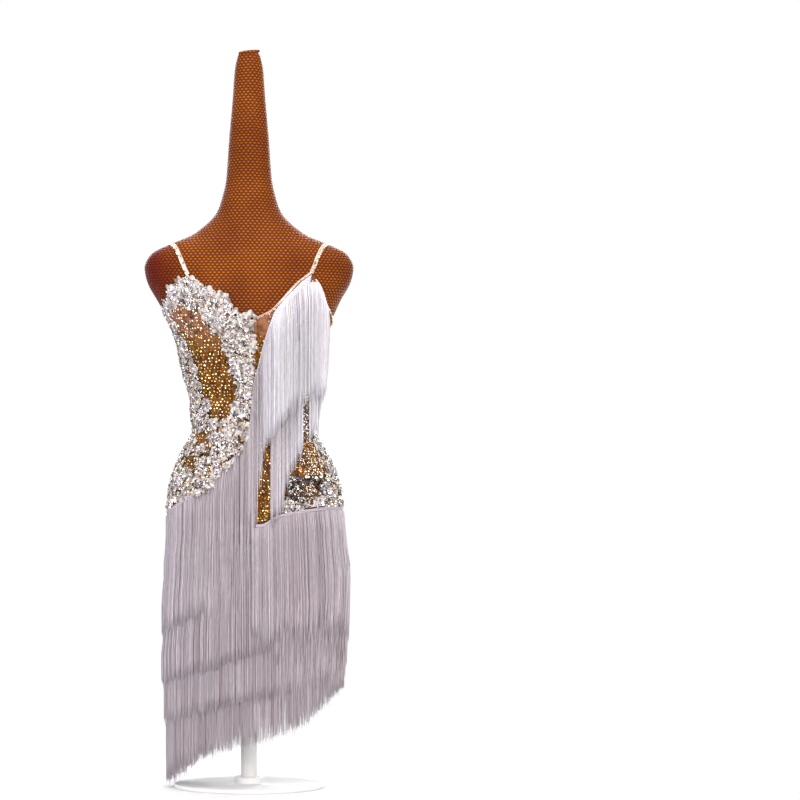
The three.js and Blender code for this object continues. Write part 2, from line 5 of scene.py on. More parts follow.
import bpy
import numpy as np
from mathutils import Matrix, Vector


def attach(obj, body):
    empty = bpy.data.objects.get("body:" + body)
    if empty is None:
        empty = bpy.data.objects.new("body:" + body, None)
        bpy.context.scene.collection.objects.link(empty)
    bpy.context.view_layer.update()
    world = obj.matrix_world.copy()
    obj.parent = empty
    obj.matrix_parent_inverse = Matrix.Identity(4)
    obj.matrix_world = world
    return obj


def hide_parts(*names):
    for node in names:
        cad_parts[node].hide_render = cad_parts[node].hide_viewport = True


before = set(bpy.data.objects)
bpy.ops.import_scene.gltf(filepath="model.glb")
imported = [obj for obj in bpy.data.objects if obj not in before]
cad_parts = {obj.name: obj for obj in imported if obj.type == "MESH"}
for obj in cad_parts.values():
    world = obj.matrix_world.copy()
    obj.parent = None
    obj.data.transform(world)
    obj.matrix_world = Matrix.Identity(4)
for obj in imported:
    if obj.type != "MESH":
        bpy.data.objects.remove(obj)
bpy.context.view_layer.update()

# A fringed latin dance dress on a limbless dress form. Sizes are in millimetres, and meshes
# are brought to metres when they are made. Angles go round the body in degrees: 0 is the
# centre front, 90 the wearer's left, 180 the centre back.

millimetre = 0.001
bpy.context.scene.view_settings.view_transform = "Standard"


# camera, light and floor

studio = {
    "imageWidth": 800,            # pixels
    "scale": 2.0,                 # millimetres a pixel at the middle of the form
    "centreColumn": 249,          # pixel column of the form's middle
    "floorRow": 787,              # pixel row of the floor
    "distance": 8000,
    "backdrop": "#ffffff",
    "ambient": 0.76,
    "card": 3.4,                  # brightness of the white cards that the stones reflect
    "floor": "#f4f2f1",
    "floorFade": (420, 1050),     # radii between which the floor fades into the backdrop
}
lamps = {  # place and aim in metres, width, watts, tint
    "key": ((1.2, -3.9, 2.6), (0.0, 0.0, 0.9), 1.5, 100, "#fff6ec"),
    "fill": ((-3.0, -3.2, 1.6), (0.0, 0.0, 0.8), 2.2, 52, "#f2f1fb"),
    "top": ((0.2, -0.3, 3.6), (0.0, 0.0, 0.9), 1.8, 46, "#ffffff"),
    "backLeft": ((1.3, 3.9, 2.2), (0.0, 0.0, 0.8), 1.8, 66, "#ffffff"),
    "backRight": ((-1.3, 3.9, 2.0), (0.0, 0.0, 0.8), 1.8, 54, "#f2f4ff"),
}


def linear(hexColour):
    # sRGB hex to linear RGBA
    parts = [int(hexColour[i:i + 2], 16) / 255 for i in (1, 3, 5)]
    return tuple(p / 12.92 if p <= 0.04045 else ((p + 0.055) / 1.055) ** 2.4 for p in parts) + (1.0,)


def addNode(tree, kind, sockets=None, stops=None, **settings):
    # one shader node with its settings, its links or values, and its ramp's stops
    made = tree.nodes.new("ShaderNode" + kind)
    for name, value in settings.items():
        setattr(made, name, value)
    for name, value in (sockets or {}).items():
        if isinstance(value, bpy.types.Node):
            value = value.outputs[0]
        if isinstance(value, bpy.types.NodeSocket):
            tree.links.new(value, made.inputs[name])
        else:
            made.inputs[name].default_value = value
    if stops:
        elements = made.color_ramp.elements
        while len(elements) < len(stops):
            elements.new(0.5)
        for element, (place, colour) in zip(elements, stops):
            element.position = place
            element.color = linear(colour)
    return made


def emptied(owner):
    # clear the nodes of a material or world and give the function that adds its own
    owner.use_nodes = True
    owner.node_tree.nodes.clear()
    return partial(addNode, owner.node_tree)


def startMaterial(name):
    material = bpy.data.materials.new(name)
    return material, emptied(material)


def makeCamera():
    width = studio["imageWidth"]
    data = bpy.data.cameras.new("camera")
    data.sensor_width = 36
    data.lens = data.sensor_width * studio["distance"] / (width * studio["scale"])
    data.shift_x = (width / 2 - studio["centreColumn"]) / width
    camera = bpy.data.objects.new("camera", data)
    height = (studio["floorRow"] - width / 2) * studio["scale"]
    camera.location = (0, -studio["distance"] * millimetre, height * millimetre)
    camera.rotation_euler = (math.radians(90), 0, 0)
    bpy.context.scene.collection.objects.link(camera)
    bpy.context.scene.camera = camera


def makeLamps():
    for name, (place, aim, width, watts, tint) in lamps.items():
        data = bpy.data.lights.new(name, "AREA")
        data.shape = "SQUARE"
        data.size = width
        data.energy = watts
        data.color = linear(tint)[:3]
        lamp = bpy.data.objects.new(name, data)
        lamp.location = place
        lamp.rotation_euler = (Vector(aim) - Vector(place)).to_track_quat("-Z", "Y").to_euler()
        bpy.context.scene.collection.objects.link(lamp)


def makeBackdrop():
    # plain white to the eye, while cloth and stones are lit by grey walls with white cards
    world = bpy.data.worlds.new("studio")
    bpy.context.scene.world = world
    node = emptied(world)
    place = node("TexCoord").outputs["Generated"]
    cards = node("TexNoise", {"Vector": place, "Scale": 3.4, "Detail": 1.0})
    shape = node("ValToRGB", {"Fac": cards}, stops=[(0.5, "#2a2a2c"), (0.6, "#ffffff")])
    walls = node("Background", {"Color": linear("#e9ebf2"), "Strength": studio["ambient"]})
    cardLight = node("Background", {"Color": shape, "Strength": studio["card"]})
    seen = node("Background", {"Color": linear(studio["backdrop"]), "Strength": 1.0})
    path = node("LightPath")
    lit = node("MixShader", {0: path.outputs["Is Glossy Ray"], 1: walls, 2: cardLight})
    both = node("MixShader", {0: path.outputs["Is Camera Ray"], 1: lit, 2: seen})
    node("OutputWorld", {"Surface": both})


def makeFloor():
    near, far = (r * millimetre for r in studio["floorFade"])
    bpy.ops.mesh.primitive_circle_add(vertices=96, radius=far, fill_type="NGON")
    floor = bpy.context.object
    floor.name = "floor"
    material, node = startMaterial("pale floor")
    place = node("TexCoord").outputs["Object"]
    radius = node("VectorMath", {0: place}, operation="LENGTH")
    fade = node("MapRange", {"Value": radius.outputs["Value"], "From Min": near, "From Max": far})
    grain = node("TexNoise", {"Vector": place, "Scale": 9.0})
    tone = node("ValToRGB", {"Fac": grain}, stops=[(0.3, "#efedec"), (0.7, studio["floor"])])
    matt = node("BsdfPrincipled", {"Base Color": tone, "Roughness": 0.8})
    clear = node("BsdfTransparent")
    both = node("MixShader", {0: fade, 1: matt, 2: clear})
    node("OutputMaterial", {"Surface": both})
    floor.data.materials.append(material)


makeCamera()
makeLamps()
makeBackdrop()
makeFloor()
print("camera, light and floor made")


# the body that the dress hangs on

def table(columns, *rows):
    return dict(zip(columns.split(), np.array(rows, float).T))


def smoothAt(rows, key, column, place):
    # smooth curve through a table's rows
    keys, values = rows[key], rows[column]
    place = np.clip(place, keys[0], keys[-1])
    i = np.clip(np.searchsorted(keys, place) - 1, 0, len(keys) - 2)
    rise = np.append(values[1:], values[-1]) - np.insert(values[:-1], 0, values[0])
    run = np.append(keys[1:], keys[-1]) - np.insert(keys[:-1], 0, keys[0])
    slope = rise / run
    span = keys[i + 1] - keys[i]
    t = (place - keys[i]) / span
    h = t * t * (3 - 2 * t)
    lead = span * slope[i] * t * (1 - t) ** 2
    trail = span * slope[i + 1] * t * t * (1 - t)
    return values[i] * (1 - h) + values[i + 1] * h + lead - trail


def straightAt(rows, key, column, place):
    return np.interp(place, rows[key], rows[column])


hipHeight = 559               # widest level of the hips, below which cloth hangs straight
bust = {"height": 934, "spread": 78, "width": 46, "rise": 50, "swell": 17, "formSwell": 14}
formUnderside, neckTop = 374, 1464
clothOut = 1.8                # middle of the bodice's cloth, out from the form
laceOut = 3.3                 # lace laid on that cloth
rowOut = 3.1                  # inner side of the innermost row of threads
rowBulk = 3.6                 # thickness of one row of threads
rowStep = 4.3                 # how far one row pushes out the row above it
cupRowGap = 0.5               # more room where rows pass the fullest part of the cup
rampHeight, rampMargin = 34, 5
tapeHeight = 8

# levels of the form: height, sideways shift, half width, depth to the front and the back
formLevels = table("z shift half front back",
    (374, 12, 150, 92, 94), (434, 12, 161, 99, 103), (514, 12, 169, 105, 112),
    (574, 12, 171, 106, 114), (634, 11, 157, 103, 106), (678, 10, 136, 98, 96),
    (708, 9, 117, 93, 88), (750, 7, 110, 87, 79), (774, 6, 107, 85, 76),
    (812, 5, 119, 88, 78), (854, 6, 131, 95, 82), (884, 6, 138, 101, 85),
    (920, 4, 154, 107, 88), (942, 2, 167, 107, 90), (974, 0, 184, 103, 91),
    (1006, 0, 202, 96, 90), (1038, 0, 209, 89, 87), (1054, 0, 204, 86, 84),
    (1070, 0, 190, 81, 80), (1086, 0, 156, 76, 76), (1102, 0, 117, 70, 72),
    (1118, 0, 94, 65, 68), (1134, 0, 76, 61, 64), (1152, 0, 63, 56, 58),
    (1182, 0, 53, 50, 51), (1214, 0, 46, 44, 45), (1294, 0, 40, 39, 39),
    (1374, 0, 33, 33, 33), (1438, 0, 28, 28, 28), (1464, 0, 22, 22, 22))

# how far the bodice stands off the sides, by height
standOffs = table("z off",
    (672, 0), (692, 1), (712, 2), (750, 10), (774, 12), (812, 10), (884, 8), (925, 2), (950, 0))

# upper edge of the bodice
bodiceTop = table("angle z",
    (-100, 886), (-90, 926), (-76, 956), (-63, 972), (-46, 1005), (-35, 1022), (-25, 1000),
    (-16, 977), (-8, 944), (4.8, 938), (14, 952), (21, 976), (28, 1008), (36, 1030),
    (40, 1014), (57, 968), (68, 950), (90, 926), (100, 886))

# top of the long slanting tape, and the lower ends of the threads that hang from it
slantTape = table("angle z hem",
    (-90, 545, 304), (-75, 555, 316), (-54, 578, 330), (-41, 596, 346), (-27, 622, 356),
    (-22, 648, 368), (-15, 664, 378), (-9, 686, 436), (-3.5, 730, 474), (2, 812, 506),
    (5, 838, 566), (7.5, 867, 604), (9, 884, 674), (13, 920, 696), (16, 942, 709), (23, 972, 742),
    (30, 1002, 764), (36, 1018, 777), (42, 1000, 782), (57, 956, 788), (61, 951, 790))

# inner rows of the cup fringe
innerFront = table("angle z hem",
    (19.1, 788, 542), (27.7, 794, 548), (30.4, 800, 562), (31.2, 812, 596), (32.4, 840, 622),
    (33.4, 860, 642), (36.5, 880, 652), (41.4, 900, 680))
innerSide = table("angle z hem",
    (47.6, 905, 702), (52.5, 904, 708), (57, 902, 714), (61.5, 899, 732), (65, 896, 754),
    (69, 892, 782))

# hip seam, the three lower headings and the four hems round the body
skirtRows = table("angle seam head2 head3 head4 hem1 hem2 hem3 hem4",
    (-90, 545, 450, 372, 262, 304, 212, 138, 18), (-75, 546, 454, 378, 268, 316, 214, 139, 24),
    (-45, 543, 468, 386, 300, 342, 230, 147, 58), (-20, 532, 490, 404, 330, 370, 248, 168, 84),
    (5, 530, 496, 424, 350, 292, 280, 184, 104), (14, 546, 501, 430, 357, 303, 281, 192, 114),
    (30, 556, 510, 442, 370, 316, 284, 205, 130),
    (60, 563, 520, 465, 425, 322, 286, 226, 184), (90, 558, 500, 462, 438, 312, 262, 232, 206),
    (120, 552, 478, 440, 415, 306, 238, 210, 182), (150, 540, 464, 415, 372, 297, 215, 178, 131),
    (180, 515, 446, 390, 346, 284, 208, 160, 104), (210, 520, 440, 372, 304, 278, 205, 145, 61),
    (240, 519, 432, 364, 262, 278, 202, 136, 18), (270, 545, 450, 372, 262, 304, 212, 138, 18))

# upper edge of the lace band at the back
hipBandTop = table("angle z",
    (100, 684), (120, 678), (144, 672), (157, 660), (180, 657), (205, 656), (220, 664),
    (240, 668), (260, 680))

leftStrap = table("angle z",
    (36.2, 1026), (40.5, 1052), (48, 1070), (62, 1081), (82, 1086), (102, 1086), (118, 1076),
    (125, 1054), (124, 1024), (118, 986), (108, 952), (104.5, 922), (104, 892))
rightStrap = table("angle z",
    (-35.5, 1023), (-40, 1050), (-48, 1070), (-62, 1081), (-82, 1086), (-102, 1086),
    (-118, 1076), (-125, 1050), (-125, 1014), (-120, 980), (-112, 944), (-107, 916), (-104, 892))
backBandLine = table("angle z",
    (101, 882), (120, 873), (143, 865), (164, 862), (180, 860), (197, 863), (218, 870),
    (241, 877), (259, 881))


def cupSwell(x, z):
    across = (np.abs(x) - bust["spread"]) / bust["width"]
    return np.exp(-across ** 2 - ((z - bust["height"]) / bust["rise"]) ** 2)


def skin(angle, z, out, swell=bust["swell"]):
    # point on the body, moved outward
    angle, z, out = np.broadcast_arrays(*(np.asarray(a, float) for a in (angle, z, out)))
    turn = np.radians(angle)
    level = {side: smoothAt(formLevels, "z", side, z) for side in ("shift", "half", "front", "back")}
    x = level["half"] * np.sin(turn)
    front = level["front"] + swell * cupSwell(x, z)
    depth = np.where(np.cos(turn) > 0, front, level["back"])
    return np.stack([level["shift"] + x + out * np.sin(turn), -(depth + out) * np.cos(turn), z], -1)


def standOff(angle, z):
    return smoothAt(standOffs, "z", "off", z) * np.sin(np.radians(angle)) ** 4


def cloth(angle, z, out):
    # point on the dress, which stands off the waist at the sides
    return skin(angle, z, out + standOff(angle, z))


def hang(angle, top, z, out):
    # point on threads that hang from a height: they fall straight and never go back inward
    angle, top, z, out = np.broadcast_arrays(*(np.asarray(a, float) for a in (angle, top, z, out)))
    turn = np.radians(angle)
    isFront = np.cos(turn) > 0
    x = smoothAt(formLevels, "z", "shift", top) + smoothAt(formLevels, "z", "half", top) * np.sin(turn)
    depth = np.zeros_like(x)
    step = 12
    for drop in np.arange(0, (top - z).max() + step, step):
        height = np.maximum(top - drop, z)
        share = (x - smoothAt(formLevels, "z", "shift", height)) / smoothAt(formLevels, "z", "half", height)
        front = smoothAt(formLevels, "z", "front", height) + bust["swell"] * cupSwell(x, height)
        reach = np.where(isFront, front, smoothAt(formLevels, "z", "back", height))
        depth = np.maximum(depth, reach * np.sqrt(np.maximum(0, 1 - share ** 2)))
    y = np.where(isFront, -depth, depth) - out * np.cos(turn)
    return np.stack([x + out * np.sin(turn), y, z], -1)


def draped(angle, z, out):
    # cloth that follows the body to the hips and hangs straight below them
    return hang(angle, np.maximum(z, hipHeight), z, out)


def seamAt(angle):
    angle = np.asarray(angle)
    return smoothAt(skirtRows, "angle", "seam", np.where(angle < -90, angle + 360, angle))


def topAt(angle):
    return straightAt(bodiceTop, "angle", "z", angle)


def tapeAt(angle):
    return straightAt(slantTape, "angle", "z", angle)


# making pieces

def gridFaces(rows, columns, closed=False):
    # quads of a sheet of points, row by row downward, facing out
    r, c = np.meshgrid(np.arange(rows - 1), np.arange(columns if closed else columns - 1), indexing="ij")
    d = (c + 1) % columns
    quads = np.stack([r * columns + c, (r + 1) * columns + c, (r + 1) * columns + d, r * columns + d], -1)
    return quads.reshape(-1, 4)


def gridUv(places):
    # corners of the same quads, from a sheet of places in metres with one column more if it closes
    p = np.asarray(places, float)
    corners = np.stack([p[:-1, :-1], p[1:, :-1], p[1:, 1:], p[:-1, 1:]], 2)
    return corners.reshape(-1, 2)


def nodeOf(name):
    # CAD node of a piece that shares its name: fringe1Back stands for fringe_1_back
    return re.sub("([A-Z]|[0-9])", r"_\1", name).lower()


def makePiece(name, points, faces, material, slot, replaces=(), smooth=True, uv=None, tint=None):
    mesh = bpy.data.meshes.new(name)
    points = np.asarray(points, float).reshape(-1, 3) * millimetre
    corners = np.concatenate([np.ravel(f) for f in faces]).astype(np.int32)
    sizes = np.concatenate([np.full(len(f), np.shape(f)[1]) for f in faces])
    mesh.vertices.add(len(points))
    mesh.vertices.foreach_set("co", points.astype(np.float32).ravel())
    mesh.loops.add(len(corners))
    mesh.loops.foreach_set("vertex_index", corners)
    mesh.polygons.add(len(sizes))
    mesh.polygons.foreach_set("loop_start", np.append(0, np.cumsum(sizes)[:-1]).astype(np.int32))
    mesh.polygons.foreach_set("use_smooth", np.full(len(sizes), smooth))
    mesh.update(calc_edges=True)
    if uv is not None:
        mesh.uv_layers.new(name="cut").uv.foreach_set("vector", np.asarray(uv, np.float32).ravel())
    if tint is not None:
        layer = mesh.color_attributes.new("tint", "FLOAT_COLOR", "POINT")
        rgba = np.concatenate([tint, np.ones((len(tint), 1))], 1)
        layer.data.foreach_set("color", rgba.astype(np.float32).ravel())
    mesh.materials.append(material)
    piece = bpy.data.objects.new(name, mesh)
    bpy.context.scene.collection.objects.link(piece)
    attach(piece, "root")
    if replaces:
        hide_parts(*replaces)
    return piece


def tintOf(rng, weights, count):
    # one linear colour for each of count stones or threads, from hex colours and their shares
    colours = np.array([linear(c)[:3] for c in weights])
    shares = np.array(list(weights.values()), float)
    picked = colours[rng.choice(len(colours), count, p=shares / shares.sum())]
    return picked * rng.uniform(0.85, 1.1, (count, 1))


# dress form: woven leatherette over a moulded body

formCover = {
    "columns": 150,
    "ringStep": 6,
    "cellWidth": 8.8,             # weave cells round the body
    "cellHeight": 5.4,
    "chevron": 16,                # how far the weave's rows climb towards the centre back
    "ridge": "#824008",
    # painted highlight: the lighter tan on the top of each weave cell
    "paintedHighlight": "#cc7e26",
    "groove": "#5e2202",
    "paintedShoulderShade": ("#5c0c00", -0.19, -0.125),   # painted shade: a deep red-brown towards the right shoulder, between two x
}


def leatherette():
    # PU leatherette embossed as a basket weave: glossy orange-brown ridges, darker between, with a painted
    # highlight on the top of each cell and painted shade towards the right shoulder
    material, node = startMaterial("embossed leatherette")
    place = node("UVMap", uv_map="cut")
    wobble = node("TexNoise", {"Vector": place, "Scale": 26.0})
    bent = node("VectorMath", {0: wobble.outputs["Color"], 1: (0.0035,) * 3}, operation="MULTIPLY")
    moved = node("VectorMath", {0: place, 1: bent}, operation="ADD")
    axes = node("SeparateXYZ", {0: moved})
    cell = {"X": formCover["cellWidth"], "Y": formCover["cellHeight"]}
    across, up = (
        node("Math", {0: axes.outputs[axis], 1: size * millimetre}, operation="DIVIDE")
        for axis, size in cell.items()
    )
    row = node("Math", {0: up}, operation="FLOOR")
    half = node("Math", {0: row, 1: 0.5}, operation="MULTIPLY")
    shifted = node("Math", {0: across, 1: half}, operation="ADD")
    lobes = []
    for axis in (shifted, up):
        part = node("Math", {0: axis}, operation="FRACT")
        arch = node("Math", {0: part, 1: math.pi}, operation="MULTIPLY")
        lobes.append(node("Math", {0: arch}, operation="SINE"))
    height = node("Math", {0: lobes[0], 1: lobes[1]}, operation="MULTIPLY")
    # colour by the weave's height: darker between the cells, with a painted highlight on their tops
    tone = node("ValToRGB", {"Fac": height}, stops=[
        (0.0, formCover["groove"]), (0.3, formCover["ridge"]), (0.66, formCover["ridge"]),
        (0.96, formCover["paintedHighlight"])])
    patch = node("TexNoise", {"Vector": place, "Scale": 9.0, "Detail": 3.0})
    worn = node("ValToRGB", {"Fac": patch}, stops=[(0.3, "#c9b0a4"), (0.7, "#ffffff")])
    toneWithPaintedLight = node("Mix", {0: 1.0, 6: tone, 7: worn}, data_type="RGBA", blend_type="MULTIPLY").outputs[2]
    x = node("SeparateXYZ", {0: node("TexCoord").outputs["Object"]}).outputs["X"]
    # painted shade: the colour turns deep red-brown towards the right shoulder
    paintedShoulderShade, far, near = formCover["paintedShoulderShade"]
    share = node("MapRange", {"Value": x, "From Min": far, "From Max": near, "To Min": 0.92, "To Max": 0.0})
    colour = node("Mix", {0: share, 6: toneWithPaintedLight, 7: linear(paintedShoulderShade)}, data_type="RGBA").outputs[2]
    dull = node("MapRange", {"Value": height, "To Min": 0.62, "To Max": 0.4})
    bump = node("Bump", {"Height": height, "Strength": 0.9, "Distance": 1.1 * millimetre})
    surface = node("BsdfPrincipled", {
        "Base Color": colour, "Roughness": dull, "Normal": bump,
        "Specular IOR Level": 0.1})
    node("OutputMaterial", {"Surface": surface})
    return material


def unit(vectors):
    return vectors / np.linalg.norm(vectors, axis=1, keepdims=True)


def arcAlong(points):
    # distance along each row of points from its first one
    steps = np.linalg.norm(np.diff(points, axis=-2), axis=-1)
    return np.concatenate([np.zeros(steps.shape[:-1] + (1,)), np.cumsum(steps, -1)], -1)


def makeForm(material):
    count = formCover["columns"]
    angles = np.linspace(-180, 180, count + 1)
    heights = np.linspace(neckTop, formUnderside, round((neckTop - formUnderside) / formCover["ringStep"]))
    points = skin(angles[None, :], heights[:, None], 0, bust["formSwell"])
    arc = arcAlong(points)
    arc -= arc[:, count // 2][:, None]
    climb = formCover["chevron"] * (np.abs(angles) / 180) ** 2
    uv = np.stack([arc, heights[:, None] + climb[None, :]], -1) * millimetre
    ring = points[:, :-1]
    low = ring[-1].mean(0)
    faces = gridFaces(len(heights), count, closed=True)
    last = (len(heights) - 1) * count + np.arange(count)
    under = np.stack([last, np.full(count, ring.shape[0] * count), np.roll(last, -1)], 1)
    everyPoint = np.concatenate([ring.reshape(-1, 3), [low]])
    corners = np.concatenate([gridUv(uv), np.zeros((under.size, 2))])
    makePiece("formCover", everyPoint, [faces, under], material, "cover", ["form_body"], uv=corners)


neckCap = {"radius": 21, "height": 10, "gathers": 15, "depth": 1.7, "tilt": 2.4, "flare": 3.4}


def makeNeckCap(material):
    # the cover's end, drawn up over the neck in gathers, a little tilted, with one fold that flares out
    turns = np.radians(np.linspace(-180, 180, neckCap["gathers"] * 8 + 1))
    rise = np.linspace(0, 1, 16)[:, None]
    profile = np.sqrt(np.clip(1 - rise ** 5, 0, 1)) * 0.97
    left = np.exp(-((turns - math.pi / 2) / 0.6) ** 2)[None, :]      # nearness to the flared fold
    fold = np.cos(neckCap["gathers"] * turns + 1.5 * np.sin(3 * turns))[None, :]
    radius = neckCap["radius"] * profile + neckCap["depth"] * fold * rise ** 0.5 * (1 - rise) ** 0.2
    flared = neckCap["flare"] * left * (np.sin(math.pi * (2 * rise ** 1.3 - 1)) + 0.2) * (rise < 0.99)
    radius = np.maximum(radius + flared, 1.2)
    height = neckTop + 0.3 + neckCap["height"] * rise * (0.93 + 0.07 * fold * (1 - rise))
    tilted = np.sin(turns)[None, :] * np.minimum(radius / neckCap["radius"], 1)
    height = height + neckCap["tilt"] * rise ** 2 * tilted
    points = np.stack([radius * np.sin(turns), -radius * np.cos(turns), height + 0 * turns], -1)[::-1]
    uv = np.stack([np.broadcast_to(turns * neckCap["radius"], radius.shape), height + 0 * turns], -1)[::-1]
    ring = points[:, :-1]
    count = ring.shape[1]
    faces = [gridFaces(len(ring), count, closed=True), np.arange(count)[None, :]]
    corners = np.concatenate([gridUv(uv * millimetre), np.zeros((count, 2))])
    makePiece("formNeckCap", ring, faces, material, "cover", ["form_neck_cap"], uv=corners)


cover = leatherette()
makeForm(cover)
makeNeckCap(cover)
print("form made")


# stand: powder-coated steel

stand = {
    "coat": "#f3f3f1",
    "grain": 1.2,                 # size of the coat's orange-peel texture
    "segments": 96,
    "edge": 0.8,                  # bevel of the sharp edges
    "postRadius": 16,
    "baseRadius": 150,
}


def powderCoat():
    # steel with a baked powder coat: satin white with a fine orange-peel surface
    material, node = startMaterial("powder-coated steel")
    place = node("TexCoord").outputs["Object"]
    peel = node("TexNoise", {"Vector": place, "Scale": 1000 / stand["grain"]})
    haze = node("TexNoise", {"Vector": place, "Scale": 14.0})
    tone = node("ValToRGB", {"Fac": haze}, stops=[(0.3, "#e9e9e7"), (0.7, stand["coat"])])
    rough = node("MapRange", {"Value": haze, "To Min": 0.32, "To Max": 0.46})
    bump = node("Bump", {"Height": peel, "Strength": 0.35, "Distance": 0.1 * millimetre})
    surface = node("BsdfPrincipled", {"Base Color": tone, "Roughness": rough, "Normal": bump})
    node("OutputMaterial", {"Surface": surface})
    return material


def endFaces(rows, count):
    # the two faces that close the ends of a sheet rolled up from rows of count points
    return np.stack([np.arange(count), (rows - 1) * count + np.arange(count)[::-1]])


def lathe(name, outline, material):
    # turned piece from its radii and heights, top to bottom, with its ends closed
    turns = np.radians(np.arange(0, 360, 360 / stand["segments"]))
    radius, height = np.array(outline, float).T
    points = np.stack([
        radius[:, None] * np.sin(turns),
        -radius[:, None] * np.cos(turns),
        np.broadcast_to(height[:, None], (len(height), len(turns)))], -1)
    rows, count = len(height), len(turns)
    faces = [gridFaces(rows, count, closed=True), endFaces(rows, count)]
    edges = makePiece(name, points, faces, material, "coat", [nodeOf(name)]).modifiers.new("edges", "BEVEL")
    edges.width = stand["edge"] * millimetre
    edges.segments = 3
    edges.angle_limit = math.radians(40)


def makeStand():
    coat = powderCoat()
    r, base = stand["postRadius"], stand["baseRadius"]
    lathe("standPost", [
        (r - 0.5, formUnderside - 0.3), (r, formUnderside - 6), (r, 120), (r - 0.6, 119.4),
        (r - 0.6, 118.2), (r, 117.6), (r, 18)], coat)
    collar = [(16.3, 22), (25, 22), (28.6, 21), (30, 18.4), (30, 12), (31.4, 9.2), (35, 8)]
    edge = [(base - 3 + 3 * math.sin(t), 5 + 3 * math.cos(t)) for t in np.linspace(0, math.pi / 2, 6)]
    foot = [(base, 2.4), (base - 0.8, 0.8), (base - 3, 0)]
    lathe("standBase", collar + edge + foot, coat)


makeStand()
print("stand made")


# bodice: skin-tone stretch mesh

bodice = {
    "thickness": 0.8,
    "columnStep": 2.0,
    "rows": 72,
    "side": 100,
    "centreSeam": 4.8,
    "peach": ("#683e28", "#a36e4c"),
    "amber": ("#4c2706", "#7a4b10"),
    "amberFrom": 900,             # height where the peach cloth turns to amber
}


def stretchMesh(name, low, high):
    # nylon power mesh over dark leatherette: peach where it is lined, amber where it is single
    material, node = startMaterial(name)
    place = node("TexCoord").outputs["Object"]
    height = node("SeparateXYZ", {0: place}).outputs["Z"]
    blotch = node("TexNoise", {"Vector": place, "Scale": 60.0, "Detail": 3.0})
    drift = node("MapRange", {"Value": blotch, "To Min": -0.03, "To Max": 0.03})
    lifted = node("Math", {0: height, 1: drift}, operation="ADD")
    start = bodice["amberFrom"] * millimetre
    share = node("MapRange", {"Value": lifted, "From Min": start - 0.03, "From Max": start + 0.02})
    # painted shade: darker vertical streaks in the lower colour
    upright = node("Mapping", {"Vector": place, "Scale": (130.0, 130.0, 28.0)})
    streaks = node("TexNoise", {"Vector": upright, "Scale": 1.0})
    lows = node("ValToRGB", {"Fac": streaks}, stops=[(0.38, low[0]), (0.58, low[1])])
    highs = node("ValToRGB", {"Fac": blotch}, stops=[(0.35, high[0]), (0.58, high[1])])
    colour = node("Mix", {0: share, 6: lows, 7: highs}, data_type="RGBA").outputs[2]
    meshes = node("TexVoronoi", {"Vector": place, "Scale": 620.0})  # 1.6 mm meshes
    bump = node("Bump", {"Height": meshes, "Strength": 0.6, "Distance": 0.3 * millimetre})
    surface = node("BsdfPrincipled", {
        "Base Color": colour, "Roughness": 0.55, "Normal": bump,
        "Specular IOR Level": 0.15})
    node("OutputMaterial", {"Surface": surface})
    return material


def makeShell(name, cadNode, angles, edges, rows, out, thickness, material, slot, surface=cloth,
        closed=False):
    # one layer of cloth between its upper and lower edge, with its real thickness
    share = np.linspace(0, 1, rows)[:, None]
    top, bottom = (edge(angles)[None, :] for edge in edges)
    z = top * (1 - share) + bottom * share
    points = surface(np.broadcast_to(angles, z.shape), z, out)
    uv = np.stack([arcAlong(points), z], -1) * millimetre
    if closed:
        points = points[:, :-1]
    faces = gridFaces(rows, points.shape[1], closed)
    piece = makePiece(name, points, [faces], material, slot, [cadNode], uv=gridUv(uv))
    solid = piece.modifiers.new("cloth", "SOLIDIFY")
    solid.thickness = thickness * millimetre
    solid.offset = 0
    return piece


def stepsBetween(low, high, step):
    return np.linspace(low, high, max(2, round((high - low) / step) + 1))


powerMesh = stretchMesh("power mesh", bodice["amber"], bodice["peach"])
side, centre = bodice["side"], bodice["centreSeam"]
for name, cadNode, low, high in (
        ("bodiceRight", "bodice_front_right", -side, centre - 0.1),
        ("bodiceLeft", "bodice_front_left", centre + 0.1, side)):
    columns = stepsBetween(low, high, bodice["columnStep"])
    makeShell(name, cadNode, columns, (topAt, seamAt), bodice["rows"], clothOut,
        bodice["thickness"], powerMesh, "mesh")

underskirt = {"thickness": 0.8, "columnStep": 2.5, "rows": 16, "dye": ("#6f5652", "#93797a")}


def underskirtHead(angle):
    return seamAt(angle) - 0.8


def underskirtFoot(angle):
    return smoothAt(skirtRows, "angle", "head4", angle) - tapeHeight * 1.5


skirtMesh = stretchMesh("skirt mesh", underskirt["dye"], underskirt["dye"])
columns = stepsBetween(-90, 270, underskirt["columnStep"])
underskirtPiece = makeShell("underskirtTube", "underskirt", columns, (underskirtHead, underskirtFoot),
    underskirt["rows"], clothOut, underskirt["thickness"], skirtMesh, "mesh", surface=draped, closed=True)
print("bodice and underskirt made")


# stones, sequins and beads

def ringFaces(count):
    # quads between one ring of points and the next
    i = np.arange(count)
    j = (i + 1) % count
    return np.stack([i, j, j + count, i + count], 1)


def dish(sides, rim, inner, middle):
    # outer ring of points at the height of the rim, and an inner ring at the middle's
    turns = np.arange(sides) * 2 * math.pi / sides
    ring = np.stack([np.cos(turns), np.sin(turns), 0 * turns + rim], 1)
    points = np.concatenate([ring, ring * (inner, inner, 0) + (0, 0, middle)])
    return points * 0.5, [ringFaces(sides)]


def cutStone(sides=6):
    # flat-backed cut stone: slanting crown facets round a flat table
    points, crown = dish(sides, 0, 0.55, 0.5)
    return points, crown + [np.arange(sides, 2 * sides)[None, :]]


def sequin():
    # pressed dish with an open eye through which the ground shows
    return dish(7, 0.36, 0.4, 0.06)


